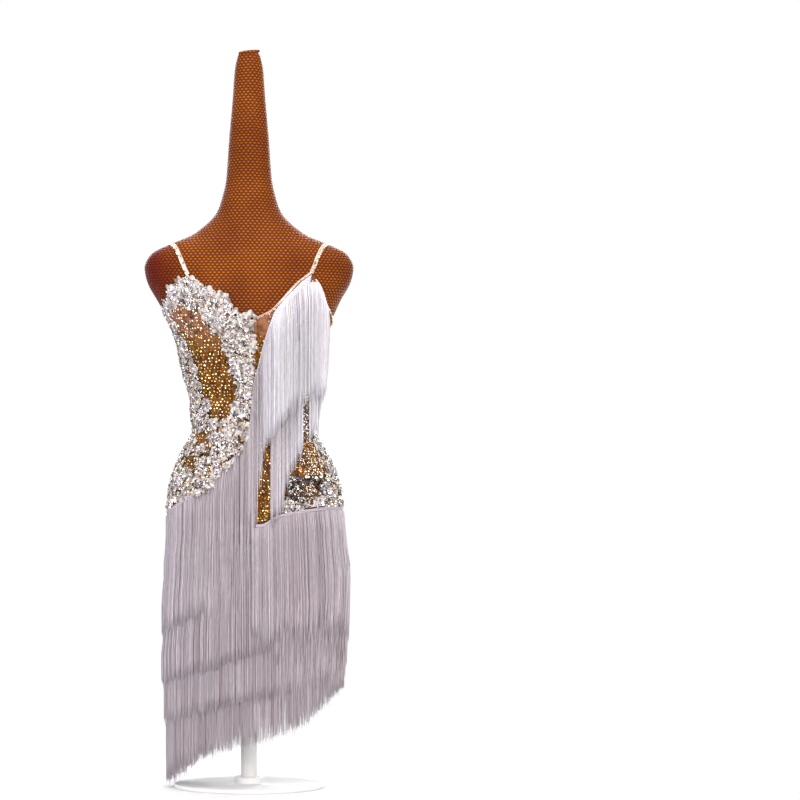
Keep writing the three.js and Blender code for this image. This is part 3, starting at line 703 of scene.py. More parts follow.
def bugleBead():
    # short glass tube lying on its side
    ends = []
    for along in (-0.5, 0.5):
        ends += [(along, -0.16, 0.02), (along, 0.16, 0.02), (along, 0.1, 0.3), (along, -0.1, 0.3)]
    quads = [(0, 4, 5, 1), (1, 5, 6, 2), (2, 6, 7, 3), (3, 7, 4, 0), (0, 1, 2, 3), (7, 6, 5, 4)]
    return np.array(ends), [np.array(quads)]


def foiledGlass():
    # foil-backed cut glass: mirror-bright facets that take the tint of each stone
    material, node = startMaterial("foiled cut glass")
    tint = node("Attribute", attribute_name="tint")
    place = node("TexCoord").outputs["Object"]
    rainbow = node("TexNoise", {"Vector": place, "Scale": 210.0})
    flash = node("ValToRGB", {"Fac": rainbow}, stops=[
        (0.36, "#e7d6ff"), (0.45, "#ffffff"), (0.56, "#fff6df"), (0.64, "#d8fff2")])
    colour = node("Mix", {0: 1.0, 6: tint.outputs["Color"], 7: flash},
        data_type="RGBA", blend_type="MULTIPLY").outputs[2]
    rough = node("MapRange", {"Value": rainbow, "To Min": 0.04, "To Max": 0.16})
    surface = node("BsdfPrincipled", {
        "Base Color": colour, "Metallic": 0.92, "Roughness": rough, "Coat Weight": 0.6,
        "Coat Roughness": 0.03})
    node("OutputMaterial", {"Surface": surface})
    return material


glass = foiledGlass()


def degreesPerMillimetre(angle, z, surface):
    return 2 / np.linalg.norm(surface(angle + 1, z, 0) - surface(angle - 1, z, 0), axis=-1)


def turned(x, y, turn):
    # places turned about the origin
    c, s = np.cos(turn), np.sin(turn)
    return x * c - y * s, x * s + y * c


def repeated(faces, count, size):
    # the faces of count copies of a shape that has size points
    offsets = np.arange(count)[:, None, None] * size
    return [(f[None] + offsets).reshape(-1, f.shape[1]) for f in faces]


def scatter(template, angle, z, size, turn, out, tilt=None, surface=cloth):
    # copies of a small shape laid on the body; each is turned, sized and tilted on its own
    points, faces = template
    angle, z, size, turn, out = (
        np.broadcast_to(np.asarray(a, float), np.shape(angle)) for a in (angle, z, size, turn, out))
    p = points[None, :, :] * size[:, None, None]
    if tilt is not None:
        for axis in (0, 1):
            p = p + p[..., axis:axis + 1] * tilt[:, axis, None, None] * (0, 0, 1)
    right, up = turned(p[..., 0], p[..., 1], turn[:, None])
    perMm = degreesPerMillimetre(angle, z, surface)[:, None]
    placed = surface(angle[:, None] + right * perMm, z[:, None] + up, out[:, None] + p[..., 2])
    return placed.reshape(-1, 3), repeated(faces, len(angle), len(points))


def joined(parts):
    # one set of points and faces from several
    points, faces, start = [], [], 0
    for p, groups in parts:
        points.append(p)
        faces += [g + start for g in groups]
        start += len(p)
    return np.concatenate(points), faces


def spotsOn(low, high, bottom, top, spacing, jitter, rng):
    # places on the body a spacing apart, in staggered rows, each a little off its place
    pitch = spacing * 0.87
    fine = stepsBetween(low, high, 0.5)
    angles, heights = [], []
    for index, z in enumerate(np.arange(bottom + pitch / 2, top, pitch)):
        arc = arcAlong(cloth(fine, np.full(fine.shape, z), 0))
        along = np.arange(spacing * (0.25 + 0.5 * (index % 2)), arc[-1], spacing)
        along = along + rng.uniform(-jitter, jitter, len(along)) * spacing
        angles.append(np.interp(along, arc, fine))
        heights.append(z + rng.uniform(-jitter, jitter, len(along)) * spacing)
    return np.concatenate(angles), np.concatenate(heights)


def insideOutline(x, z, outline):
    # which places lie inside an outline drawn on the front view
    inside = np.zeros(np.shape(x), bool)
    for (ax, az), (bx, bz) in zip(outline, outline[1:] + outline[:1]):
        if az == bz:
            continue
        crosses = (az > z) != (bz > z)
        inside ^= crosses & (x < (bx - ax) * (z - az) / (bz - az) + ax)
    return inside


# the dark greys and near-blacks in the silver, warmSilver and backMix palettes are painted dark reflections;
# the other tints are the stones' own colours
palettes = {
    "silver": {"#ffffff": 36, "#dcd7d6": 24, "#a59b98": 14, "#3b2d2a": 13, "#e0bf92": 8, "#dcb6bc": 5},
    "warmSilver": {"#ffffff": 24, "#cfc5c0": 23, "#94847c": 18, "#3e2a24": 18, "#d8ab78": 11, "#cfa2a4": 6},
    "dark": {"#2a292c": 32, "#5b5a5f": 24, "#9b9a9e": 24, "#e2e2e6": 20},
    "gold": {"#ffe9a8": 34, "#fff3cf": 26, "#e8b860": 26, "#c08028": 14},
    "peach": {"#ffe0c0": 34, "#f0c090": 24, "#ffffff": 30, "#8a5030": 12},
    "bronze": {"#b8794e": 30, "#8a5634": 24, "#e2b06c": 26, "#f7e6cf": 20},
    "trim": {"#ffffff": 40, "#fff0e0": 30, "#f0cfb4": 18, "#8a5a3c": 12},
    "backMix": {"#ffffff": 30, "#d9d5d4": 22, "#938c8a": 15, "#2b2622": 14, "#e5c07c": 12, "#b98a66": 7},
}
stoneKinds = cutStone(), sequin(), bugleBead()
kindScale = (1.0, 1.35, 1.3)      # size of each kind against a stone's
kindTilt = (0.12, 0.28, 0.15)     # and how unevenly it lies


def makeStones(name, spots, palette, sizes, out, rng, surface=cloth, mix=(1, 0, 0)):
    # cut stones, sequins and bugle beads in the shares that mix gives
    angle, z = spots
    if isinstance(sizes, tuple):
        sizes = rng.uniform(*sizes, len(angle))
    kinds = rng.choice(3, len(angle), p=np.array(mix, float) / sum(mix))
    parts, tints = [], []
    for kind, template in enumerate(stoneKinds):
        here = kinds == kind
        count = int(here.sum())
        if not count:
            continue
        size = sizes[here] * kindScale[kind]
        turn = rng.uniform(0, 2 * math.pi, count)
        tilt = rng.normal(0, kindTilt[kind], (count, 2))
        lift = out + rng.uniform(0, 0.3, count)
        parts.append(scatter(template, angle[here], z[here], size, turn, lift, tilt, surface))
        colours = palette[here] if isinstance(palette, np.ndarray) else tintOf(rng, palettes[palette], count)
        tints.append(np.repeat(colours, len(template[0]), 0))
    points, faces = joined(parts)
    return makePiece(name, points, faces, glass, "crystal", smooth=False, tint=np.concatenate(tints))


# beaded lace

lace = {
    "thread": "#e4dcd9",
    "hollow": "#85776f",
    "groundCell": 2.2,
    "flowerSize": (22, 32),
    "leafSize": (14, 22),
    "leafSpacing": 14,
    "stoneSpacing": 5.0,
    "stoneSize": (2.8, 5.2),
}
# span of angles, heights and outline on the front view, in x and height, of each piece of lace;
# the lower its openness, the larger the net's holes
lacePieces = {
    "laceNeckline": {
        "openness": -0.04, "palette": "silver", "span": (-99.8, 3.6), "heights": (880, 1030), "outline": [
            (-260, 1100), (-260, 926), (-178, 936), (-162, 942), (-144, 968), (-132, 962), (-114, 951),
            (-88, 946), (-84, 926), (-56, 910), (-50, 888), (6, 888), (5, 930), (10, 1100)]},
    "laceCentre": {
        "openness": -0.32, "palette": "silver", "span": (-24, 3), "heights": (738, 896), "outline": [
            (-54, 896), (-43, 860), (-34, 824), (-25, 786), (-26, 762), (-36, 744), (-28, 738), (4, 738),
            (8, 772), (10, 824), (6, 860), (6, 896)]},
    "laceSide": {
        "openness": -0.1, "palette": "warmSilver", "span": (-99.8, -48), "heights": (728, 945), "outline": [
            (-260, 945), (-152, 945), (-138, 900), (-116, 862), (-103, 824), (-88, 786), (-72, 748),
            (-66, 728), (-260, 728)]},
    "laceWaist": {
        "openness": -0.28, "palette": "warmSilver", "span": (-99.8, -4), "heights": (660, 742), "outline": [
            (-260, 728), (-66, 728), (-62, 716), (-54, 722), (-40, 744), (2, 738), (0, 700), (-8, 680),
            (-26, 660), (-260, 660)]},
    "laceHipRight": {
        "openness": -0.3, "palette": "warmSilver", "span": (-99.8, -26), "heights": (548, 660), "outline": [
            (-260, 660), (-26, 660), (-56, 632), (-86, 608), (-112, 580), (-168, 548), (-260, 548)]},
    "laceHipLeft": {
        "openness": -0.1, "palette": "warmSilver", "span": (46, 99.8), "heights": (562, 706), "outline": [
            (108, 706), (134, 700), (138, 680), (138, 656), (144, 640), (156, 628), (132, 626), (128, 562),
            (260, 562), (260, 706)]},
    "laceHipLeftLow": {
        "openness": -0.1, "palette": "warmSilver", "span": (17, 47), "heights": (552, 626), "outline": [
            (76, 624), (132, 626), (132, 560), (66, 548), (72, 590)]},
}
laceOpenings = [
    [(-118, 710), (-80, 714), (-76, 688), (-106, 682)],
    [(-86, 682), (-74, 690), (-76, 632), (-84, 638)],
    [(-24, 710), (-4, 714), (-6, 684), (-20, 686)],
    [(-130, 664), (-104, 672), (-102, 634), (-126, 638)],
    [(-66, 734), (-52, 734), (-56, 704), (-60, 698)],
]
darkLace = [(74, 628), (154, 626), (154, 586), (66, 572)]
paleCluster = (119, 594, 13)     # pale stones in the middle of the dark ones: x, height, radius


def cordedLace(name, hollow):
    # polyester lace with a raised cord round each motif: matt white with darker hollows
    material, node = startMaterial(name)
    place = node("TexCoord").outputs["Object"]
    knots = node("TexVoronoi", {"Vector": place, "Scale": 900.0})  # 1.1 mm stitches
    haze = node("TexNoise", {"Vector": place, "Scale": 120.0})
    tone = node("ValToRGB", {"Fac": haze}, stops=[(0.36, hollow), (0.56, lace["thread"])])
    bump = node("Bump", {"Height": knots, "Strength": 0.7, "Distance": 0.4 * millimetre})
    surface = node("BsdfPrincipled", {
        "Base Color": tone, "Roughness": 0.6, "Normal": bump, "Sheen Weight": 0.3, "Sheen Roughness": 0.5})
    node("OutputMaterial", {"Surface": surface})
    return material


def petal(length, width, tip):
    # its rim, a raised cord just inside it, and a hollow with a ridge; the larger its tip, the rounder
    t = np.linspace(0, 1, 6)
    half = 0.5 * width * np.sin(math.pi * t ** 0.8) ** (1 / tip)
    edge = np.concatenate([np.stack([t, half], 1), np.stack([t, -half], 1)[-2:0:-1]])
    edge = edge * length + (0.1 * length, 0)
    middle = np.array([0.55 * length, 0])
    rings = [
        np.column_stack([middle + (edge - middle) * reach, np.full(len(edge), height)])
        for reach, height in ((1.0, 0.0), (0.84, 0.62), (0.6, 0.16))]
    count = len(edge)
    band = ringFaces(count)[:, [1, 0, 3, 2]]
    ridge = np.column_stack([band[:, :2] + 2 * count, np.full(count, 3 * count)])
    return np.concatenate(rings + [[[*middle, 0.4]]]), [band, band + count, ridge]


def flower(petals, width, tip):
    # petals of one unit's reach round a small eye
    points, faces = petal(0.46, width, tip)
    x, y, z = points.T
    turns = np.arange(petals) * 2 * math.pi / petals
    return joined([(np.stack([*turned(x, y, turn), z * 0.1], 1), faces) for turn in turns])


def leaf():
    points, faces = petal(0.95, 0.36, 1.0)
    return points * (1, 1, 0.1) - (0.5, 0, 0), faces


motifs = [flower(5, 0.86, 1.7), flower(6, 0.62, 1.4), leaf()]
threadLace = cordedLace("corded lace", lace["hollow"])


def inDark(angle, z):
    return insideOutline(cloth(angle, z, laceOut)[..., 0], z, darkLace)


def laceCover(name, angle, z, ragged, rng):
    # which places on the body a piece of lace covers, with a ragged edge
    facts = lacePieces[name]
    x = cloth(angle, z, laceOut)[..., 0] + rng.normal(0, ragged, np.shape(angle))
    height = z + rng.normal(0, ragged, np.shape(angle))
    covered = insideOutline(x, height, facts["outline"])
    for opening in laceOpenings:
        covered &= ~insideOutline(x, height, opening)
    low, high = facts["span"]
    covered &= (angle > low) & (angle < high) & (z < topAt(angle) - 0.5) & (z > seamAt(angle) + 1)
    onTape = (angle < bodice["centreSeam"]) & (z < tapeAt(angle) + 2)
    return covered & ~onTape


def netHole(x, z, openness):
    # clustered holes of the net
    return np.sin(x / 4.1 + 1.3 * np.sin(z / 6.1)) * np.sin(z / 3.7 + 1.1 * np.sin(x / 5.3)) > openness


def laceGround(name, rng):
    # the net that the motifs are worked on, cut away cell by cell round its ragged edge
    facts = lacePieces[name]
    low, high = facts["span"]
    bottom, top = facts["heights"]
    cell = lace["groundCell"]
    width = arcAlong(cloth(stepsBetween(low, high, 1), (bottom + top) / 2, 0))[-1]
    angles = stepsBetween(low, high, (high - low) * cell / width)
    heights = np.arange(top, bottom, -cell)
    grid = cloth(angles[None, :], heights[:, None], laceOut)
    angle, z = np.meshgrid((angles[1:] + angles[:-1]) / 2, (heights[1:] + heights[:-1]) / 2)
    kept = laceCover(name, angle, z, 1.2, rng) & ~inDark(angle, z)
    kept &= ~netHole(cloth(angle, z, 0)[..., 0], z, facts["openness"])
    return grid.reshape(-1, 3), [gridFaces(len(heights), len(angles))[kept.ravel()]]


def pick(here, *lists):
    return [values[here] for values in lists]


def workMotifs(area, spacings, allowed, out, rng, turns=(0, 2 * math.pi)):
    # flowers and leaves laid over an area wherever they are allowed
    parts = []
    sizes = lace["flowerSize"], lace["flowerSize"], lace["leafSize"]
    for template, spacing, between in zip(motifs, (*spacings, lace["leafSpacing"]), sizes):
        angle, z = spotsOn(*area, spacing, 0.3, rng)
        angle, z = pick(allowed(angle, z), angle, z)
        size, turn = rng.uniform(*between, len(z)), rng.uniform(*turns, len(z))
        parts.append(scatter(template, angle, z, size, turn, out))
    return parts


# flowers that stand up over the neckline: angle, height over the edge, size, turn
neckFlowers = table("angle over size turn petals",
    (-80, -13, 24, 0.3, 5), (-66, -12, 26, 0.9, 6), (-54, -15, 28, 0.2, 5), (-43, -12, 27, 0.6, 6),
    (-33, -11, 30, 0.1, 5), (-24, -14, 27, 1.1, 6), (-16.5, -2, 31, 0.45, 5), (-9.5, -9, 24, 0.0, 6),
    (-4, -10, 27, 0.8, 5), (1, -5, 22, 0.3, 6))


def onFlower(angle, z):
    # which places lie on one of those flowers
    spots = skin(angle, z, 0)
    covered = np.zeros(len(angle), bool)
    for flowerAngle, over, size in zip(neckFlowers["angle"], neckFlowers["over"], neckFlowers["size"]):
        centre = skin(flowerAngle, topAt(flowerAngle) + over, 0)
        covered |= np.linalg.norm(spots - centre, axis=1) < 0.44 * size
    return covered


def makeLace(name, index):
    facts = lacePieces[name]
    rng = np.random.default_rng(100 + index)
    area = *facts["span"], *facts["heights"]

    def allowed(angle, z):
        return laceCover(name, angle, z, 0, rng) & ~inDark(angle, z)

    parts = [laceGround(name, rng)] + workMotifs(area, (29, 35), allowed, laceOut + 0.3, rng)
    piece = makePiece(name, *joined(parts), threadLace, "lace", [nodeOf(name)])
    angle, z = spotsOn(*area, lace["stoneSpacing"], 0.38, rng)
    angle, z = pick(laceCover(name, angle, z, 3.0, rng), angle, z)
    x = cloth(angle, z, laceOut)[:, 0]
    dark = inDark(angle, z) & (np.hypot(x - paleCluster[0], z - paleCluster[1]) > paleCluster[2])
    tints = tintOf(rng, palettes[facts["palette"]], len(z))
    tints[dark] = tintOf(rng, palettes["dark"], int(dark.sum()))
    if name == "laceNeckline":
        bare = onFlower(angle, z) & (rng.random(len(z)) < 0.8)
        angle, z, tints, dark = pick(~bare, angle, z, tints, dark)
    sizes = rng.uniform(*lace["stoneSize"], len(z)) * np.where(dark, 1.1, 1.0)
    return piece, makeStones(name + "Stones", (angle, z), tints, sizes, laceOut + 0.9, rng, mix=(4, 6, 2))


lacePair = {name: makeLace(name, index) for index, name in enumerate(lacePieces)}


def makeNeckFlowers():
    # flowers of their own, with a large stone in each eye and small ones round it
    parts = []
    for petals, template in ((5, motifs[0]), (6, motifs[1])):
        angle, over, size, turn = pick(neckFlowers["petals"] == petals,
            *(neckFlowers[column] for column in ("angle", "over", "size", "turn")))
        parts.append(scatter(template, angle, topAt(angle) + over, size, turn, laceOut + 1.0))
    flowers = makePiece("laceNecklineFlowers", *joined(parts), threadLace, "lace")
    rng = np.random.default_rng(150)
    angles, heights, sizes = [], [], []
    for angle, over, size in zip(neckFlowers["angle"], neckFlowers["over"], neckFlowers["size"]):
        z = topAt(angle) + over
        perMm = degreesPerMillimetre(angle, z, cloth)
        turns = rng.uniform(0, 6.28) + np.arange(6) * math.pi / 3
        reach = 0.2 * size
        angles += [angle, *(angle + reach * np.cos(turns) * perMm)]
        heights += [z, *(z + reach * np.sin(turns))]
        sizes += [5.0] + [2.6] * len(turns)
    angles, heights, sizes = (np.array(values) for values in (angles, heights, sizes))
    return flowers, makeStones("laceNecklineFlowerStones", (angles, heights), "silver", sizes, laceOut + 2.6,
        rng)


neckFlowerPieces = makeNeckFlowers()

# sprigs of the hip lace that lie over the slanting tape and the heads of its threads
tapeSprigs = {
    "span": (-40, -8),
    "step": 2.2,
    "below": (-6, 12),            # between which they lie under the tape's top
    "size": (15, 22),
    "stones": 5,
    "out": rowOut + rowBulk + 0.8,
}


def makeTapeSprigs():
    rng = np.random.default_rng(170)
    angle = stepsBetween(*tapeSprigs["span"], tapeSprigs["step"])
    z = tapeAt(angle) - rng.uniform(*tapeSprigs["below"], len(angle))
    size, turn = rng.uniform(*tapeSprigs["size"], len(angle)), rng.uniform(0, 6.28, len(angle))
    out = tapeSprigs["out"]
    parts = []
    for start, template in enumerate(motifs):
        spots = pick(slice(start, None, 3), angle, z, size, turn)
        parts.append(scatter(template, *spots, out, surface=draped))
    sprigs = makePiece("laceTapeSprigs", *joined(parts), threadLace, "lace")
    angle, z = np.repeat(angle, tapeSprigs["stones"]), np.repeat(z, tapeSprigs["stones"])
    angle = angle + rng.normal(0, 1.2, len(angle))
    z = z + rng.normal(0, 5, len(angle))
    return sprigs, makeStones("laceTapeSprigStones", (angle, z), "warmSilver", (2.4, 3.8), out + 1.6, rng,
        surface=draped)


tapeSprigPieces = makeTapeSprigs()
print("lace made")

# stones set straight on the mesh: span of angles, heights, spacing, jitter, sizes, colours
meshStones = {
    "bodiceRightStones": [
        ((-88, -2), (700, 900), 7.7, 0.22, (3.0, 4.6), "gold"),
        ((-90, -2), (900, 1010), 7.4, 0.3, (3.2, 5.2), "peach"),
        ((-88, -18), (600, 700), 6.4, 0.2, (2.4, 3.6), "gold")],
    "bodiceLeftStones": [
        ((0.5, 34), (534, 574), 5.6, 0.3, (3.0, 4.8), "gold"),
        ((0.5, 34), (574, 760), 7.4, 0.3, (3.0, 5.0), "gold"),
        ((0.6, 12), (760, 905), 6.6, 0.2, (3.2, 4.8), "gold"),
        ((12, 60), (760, 1010), 8, 0.2, (2.6, 3.8), "peach"),
        ((34, 98), (560, 690), 5.0, 0.3, (2.8, 4.4), "peach"),
        ((38, 98), (690, 800), 3.9, 0.3, (2.6, 4.0), "backMix"),
        ((60, 98), (800, 900), 8, 0.3, (2.6, 3.8), "peach")],
}


def makeMeshStones(name, index):
    rng = np.random.default_rng(200 + index)
    found = []
    for span, heights, spacing, jitter, size, palette in meshStones[name]:
        angle, z = spotsOn(*span, *heights, spacing, jitter, rng)
        here = (z < topAt(angle) - 6) & (z > seamAt(angle) + 3)
        for other in lacePieces:
            here &= ~laceCover(other, angle, z, 0, rng)
        here &= (angle > 0.4) | (z > tapeAt(angle) + 3)
        count = int(here.sum())
        found.append((angle[here], z[here], tintOf(rng, palettes[palette], count), rng.uniform(*size, count)))
    angles, heights, tints, sizes = (np.concatenate(column) for column in zip(*found))
    return makeStones(name, (angles, heights), tints, sizes, clothOut + 0.4, rng)


meshStonePieces = [makeMeshStones(name, index) for index, name in enumerate(meshStones)]
print("stones made")


# hip band at the back: beaded lace with a ragged upper edge

laceOverMesh = cordedLace("lace over skin-tone mesh", "#6e4630")
hipBand = {
    "thickness": 0.9,
    "out": 1.9,
    "rows": 40,
    "columnStep": 1.4,
    "spacing": 3.7,
    "goldFrom": -10,              # x past which some stones are gold, and their share
    "goldShare": 0.16,
    "bareShare": 0.45,            # share of stones that the barer patches lack
}
hipOpenings = [  # barer patches, x and height
    [(30, 656), (70, 656), (66, 630), (36, 628)],
    [(-4, 620), (50, 622), (54, 570), (2, 564)],
    [(-156, 616), (-108, 618), (-110, 576), (-150, 574)],
    [(-62, 642), (-30, 644), (-32, 614), (-60, 612)],
    [(92, 612), (128, 614), (124, 586), (96, 584)],
    [(-96, 560), (-60, 562), (-58, 536), (-92, 534)],
]


def hipTop(angle):
    wave = 3.2 * np.sin(np.radians(angle) * 23) + 2.4 * np.sin(np.radians(angle) * 41 + 1)
    return smoothAt(hipBandTop, "angle", "z", angle) - 3 + wave


def inOpening(angle, z):
    x = cloth(angle, z, 0)[:, 0]
    return np.any([insideOutline(x, z, opening) for opening in hipOpenings], 0)


def makeHipBand():
    rng = np.random.default_rng(300)
    angles = stepsBetween(100.2, 259.8, hipBand["columnStep"])
    piece = makeShell("hipBand", "hip_band_back", angles, (hipTop, seamAt), hipBand["rows"], hipBand["out"],
        hipBand["thickness"], laceOverMesh, "lace")

    def allowed(angle, z):
        return (z < hipTop(angle) - 2) & (z > seamAt(angle) + 9) & ~inOpening(angle, z)

    parts = workMotifs((103, 257, 520, 690), (26, 31), allowed, hipBand["out"] + 0.7, rng, turns=(0, 6.28))
    motifPiece = makePiece("hipBandMotifs", *joined(parts), threadLace, "lace")
    angle, z = spotsOn(101, 259, 515, 690, hipBand["spacing"], 0.38, rng)
    here = (z < hipTop(angle) + rng.normal(1, 2, len(z))) & (z > seamAt(angle) + 2)
    here &= ~(inOpening(angle, z) & (rng.random(len(z)) < hipBand["bareShare"]))
    angle, z = pick(here, angle, z)
    tints = tintOf(rng, palettes["backMix"], len(z))
    gold = (cloth(angle, z, 0)[:, 0] < hipBand["goldFrom"]) & (rng.random(len(z)) < hipBand["goldShare"])
    warm = inOpening(angle, z) | gold
    tints[warm] = tintOf(rng, palettes["bronze"], int(warm.sum()))
    stones = makeStones("hipBandStones", (angle, z), tints, lace["stoneSize"], hipBand["out"] + 1.0, rng,
        mix=(5, 4, 2))
    return piece, motifPiece, stones


hipBandPieces = makeHipBand()
print("hip band made")


# straps, back band and crystal edges

trims = {"elastic": "#ecd2c0", "rib": 1.1}


def knittedElastic():
    # covered elastic: peach, matt, with fine ribs along it
    material, node = startMaterial("knitted elastic")
    place = node("UVMap", uv_map="cut")
    ribs = node("TexWave", {"Vector": place, "Scale": 1000 / trims["rib"] / 6.28, "Distortion": 0.6},
        wave_type="BANDS", bands_direction="Y")
    tone = node("ValToRGB", {"Fac": ribs}, stops=[(0.0, "#c39b80"), (0.6, trims["elastic"])])
    bump = node("Bump", {"Height": ribs, "Strength": 0.6, "Distance": 0.3 * millimetre})
    surface = node("BsdfPrincipled", {
        "Base Color": tone, "Roughness": 0.6, "Normal": bump, "Sheen Weight": 0.3})
    node("OutputMaterial", {"Surface": surface})
    return material


elastic = knittedElastic()


def smoothPath(line, step):
    # evenly spaced places along a smooth curve through a table of angles and heights
    spots = cloth(line["angle"], line["z"], 0)
    along = arcAlong(spots)
    rows = {"along": along, "angle": line["angle"], "z": line["z"]}
    at = stepsBetween(0, along[-1], step)
    return smoothAt(rows, "along", "angle", at), smoothAt(rows, "along", "z", at)


def pathFrames(angle, z, out):
    # centre line on the body with its across and outward directions
    centre = cloth(angle, z, out)
    along = unit(np.gradient(centre, axis=0))
    sideways = cloth(angle + 1, z, out) - cloth(angle - 1, z, out)
    up = cloth(angle, z + 2, out) - cloth(angle, z - 2, out)
    outward = unit(np.cross(sideways, up))
    return centre, along, unit(np.cross(along, outward)), outward


def makeRibbon(name, line, width, out, thickness, slot):
    # flat elastic with rounded edges along a line on the body
    angle, z = smoothPath(line, 2.0)
    centre, along, across, outward = pathFrames(angle, z, out)
    profile = np.array([
        (0.5, 0.5), (0.42, 0.92), (0.2, 1.0), (-0.2, 1.0), (-0.42, 0.92), (-0.5, 0.5), (-0.42, 0.08),
        (0.42, 0.08)]) * (width, thickness)
    sideways, upright = profile[None, :, :1] * across[:, None], profile[None, :, 1:] * outward[:, None]
    points = centre[:, None] + sideways + upright
    rows, count = len(centre), len(profile)
    around = np.linspace(0, width * 2.2, count + 1)
    uv = np.stack(np.broadcast_arrays(arcAlong(centre)[:, None], around[None, :]), -1) * millimetre
    ends = endFaces(rows, count)
    corners = np.concatenate([gridUv(uv), np.zeros((ends.size, 2))])
    faces = [gridFaces(rows, count, closed=True)[:, ::-1], ends[:, ::-1]]
    makePiece(name, points, faces, elastic, slot, [nodeOf(name)], uv=corners)


def makeStoneRows(name, line, offsets, out, rng, step=4.1, size=(3.3, 4.0)):
    # rows of stones set side by side along a line
    angle, z = smoothPath(line, step)
    centre, along, across, outward = pathFrames(angle, z, out)
    template, faces = cutStone()
    points = []
    for offset in offsets:
        place = centre + across * offset + rng.normal(0, 0.15, centre.shape)
        spin = rng.uniform(0, 6.28, len(place))
        width = rng.uniform(*size, len(place))[:, None, None]
        a, b = turned(template[None, :, 0], template[None, :, 1], spin[:, None])
        normal = outward + rng.normal(0, 0.12, (len(place), 3))
        points.append(place[:, None] + width * (
            a[..., None] * across[:, None] * -1 + b[..., None] * along[:, None]
            + template[None, :, 2, None] * normal[:, None]))
    count = len(centre) * len(offsets)
    tints = np.repeat(tintOf(rng, palettes["trim"], count), len(template), 0)
    makePiece(name, np.concatenate(points), repeated(faces, count, len(template)), glass, "crystal",
        smooth=False, tint=tints)


def edgeLine(low, high, below):
    here = (bodiceTop["angle"] >= low) & (bodiceTop["angle"] <= high)
    return {"angle": bodiceTop["angle"][here], "z": bodiceTop["z"][here] - below}


def makeTrims():
    rng = np.random.default_rng(400)
    for name, line in (("strapRight", rightStrap), ("strapLeft", leftStrap), ("backBand", backBandLine)):
        makeRibbon(name, line, 8.6, 1.2, 1.7, "trim")
        makeStoneRows(name + "Stones", line, (-2.1, 2.1), 2.8, rng)
    for name, low, high in (("neckTrimLeft", 4.8, 36), ("armholeTrimLeft", 40, 90)):
        line = edgeLine(low, high, 2.6)
        makeRibbon(name, line, 4.4, 3.1, 0.9, "crystal")
        makeStoneRows(name + "Stones", line, (0.2,), 3.9, rng, 3.7, (3.0, 3.8))


makeTrims()

clasp = {"angle": 180, "z": 860, "width": 15, "height": 8, "wire": 1.3, "metal": "#d9d9dc"}


def nickelPlate():
    # nickel-plated steel: bright, with a fine rubbed haze
    material, node = startMaterial("nickel-plated steel")
    place = node("TexCoord").outputs["Object"]
    rub = node("TexNoise", {"Vector": place, "Scale": 600.0})
    rough = node("MapRange", {"Value": rub, "To Min": 0.16, "To Max": 0.34})
    tone = node("ValToRGB", {"Fac": rub}, stops=[(0.3, "#b9b8bb"), (0.7, clasp["metal"])])
    surface = node("BsdfPrincipled", {"Base Color": tone, "Metallic": 1.0, "Roughness": rough})
    node("OutputMaterial", {"Surface": surface})
    return material


def roundedLoop(width, height, corner, shift):
    points = []
    for sx, sy, start in ((1, 1, 0), (-1, 1, 90), (-1, -1, 180), (1, -1, 270)):
        for turn in np.radians(np.linspace(start, start + 90, 5)):
            points.append((
                shift + sx * (width / 2 - corner) + corner * math.cos(turn),
                sy * (height / 2 - corner) + corner * math.sin(turn), 0.6))
    return np.array(points)


def wireLoop(path, radius, sides=8):
    # wire along a closed path of points
    along = unit(np.roll(path, -1, 0) - np.roll(path, 1, 0))
    aside = np.stack([along[:, 1], -along[:, 0], 0 * along[:, 0]], 1)
    turns = np.arange(sides) * 2 * math.pi / sides
    ring = aside[:, None] * np.cos(turns)[:, None] + np.array([0, 0, 1]) * np.sin(turns)[:, None]
    points = (path[:, None, :] + radius * ring).reshape(-1, 3)
    i, k = np.meshgrid(np.arange(len(path)), np.arange(sides), indexing="ij")
    j, m = (i + 1) % len(path), (k + 1) % sides
    quads = np.stack([i * sides + k, j * sides + k, j * sides + m, i * sides + m], -1).reshape(-1, 4)
    return points, [quads]


def makeClasp():
    # a wire hook caught in a wire eye, each on its end of the band
    half = clasp["width"] / 2
    height, wire = clasp["height"], clasp["wire"] / 2
    eye = roundedLoop(half + 1.5, height, 2.2, -half / 2 + 0.4)
    hook = roundedLoop(half + 1.0, height - 2.6, 1.8, half / 2 - 1.0) + (0, 0, 0.5)
    knot = roundedLoop(3.4, 2.4, 1.1, 0.4) + (0, 0, 0.9)
    loops = joined([wireLoop(path, wire) for path in (eye, hook, knot)])
    points, faces = scatter(loops, np.array([clasp["angle"]]), clasp["z"], 1.0, 0.0, 4.6)
    makePiece("backClasp", points, faces, nickelPlate(), "clasp", ["back_clasp"])


makeClasp()
print("straps and trims made")


# fringe

fringe = {
    "spacing": 1.35,
    "radius": 0.66,
    "levels": 9,
    "tuft": (3, 9),               # threads that cling together
    "pull": 0.15,                 # how far a tuft closes up at its end
    "sway": 1.6,
    "uneven": 2.4,                # how uneven the ends are, thread by thread and tuft by tuft
    "tuftUneven": 3.6,
    "strayShare": 0.03,
    "stray": (3, 10),             # how much lower a stray thread hangs
    "shortest": 12,
    "rowShade": (1.0, 0.95, 0.95, 0.81),   # painted shade: how much darker the lower front rows are
    # painted light: the threads at the back are made lighter
    "backShade": 1.12,
    "tipHighlight": 0.08,             # painted highlight: the tips are paler
    # painted shade: the skirt's threads are the same white rayon as the cup's, painted greyer
    "skirt": {"#d6ccd1": 44, "#cbc1c7": 26, "#e0d7dc": 22, "#b5a3aa": 8},
    "cup": {"#fdfcff": 60, "#f7f4fb": 30, "#ede8f1": 10},
}


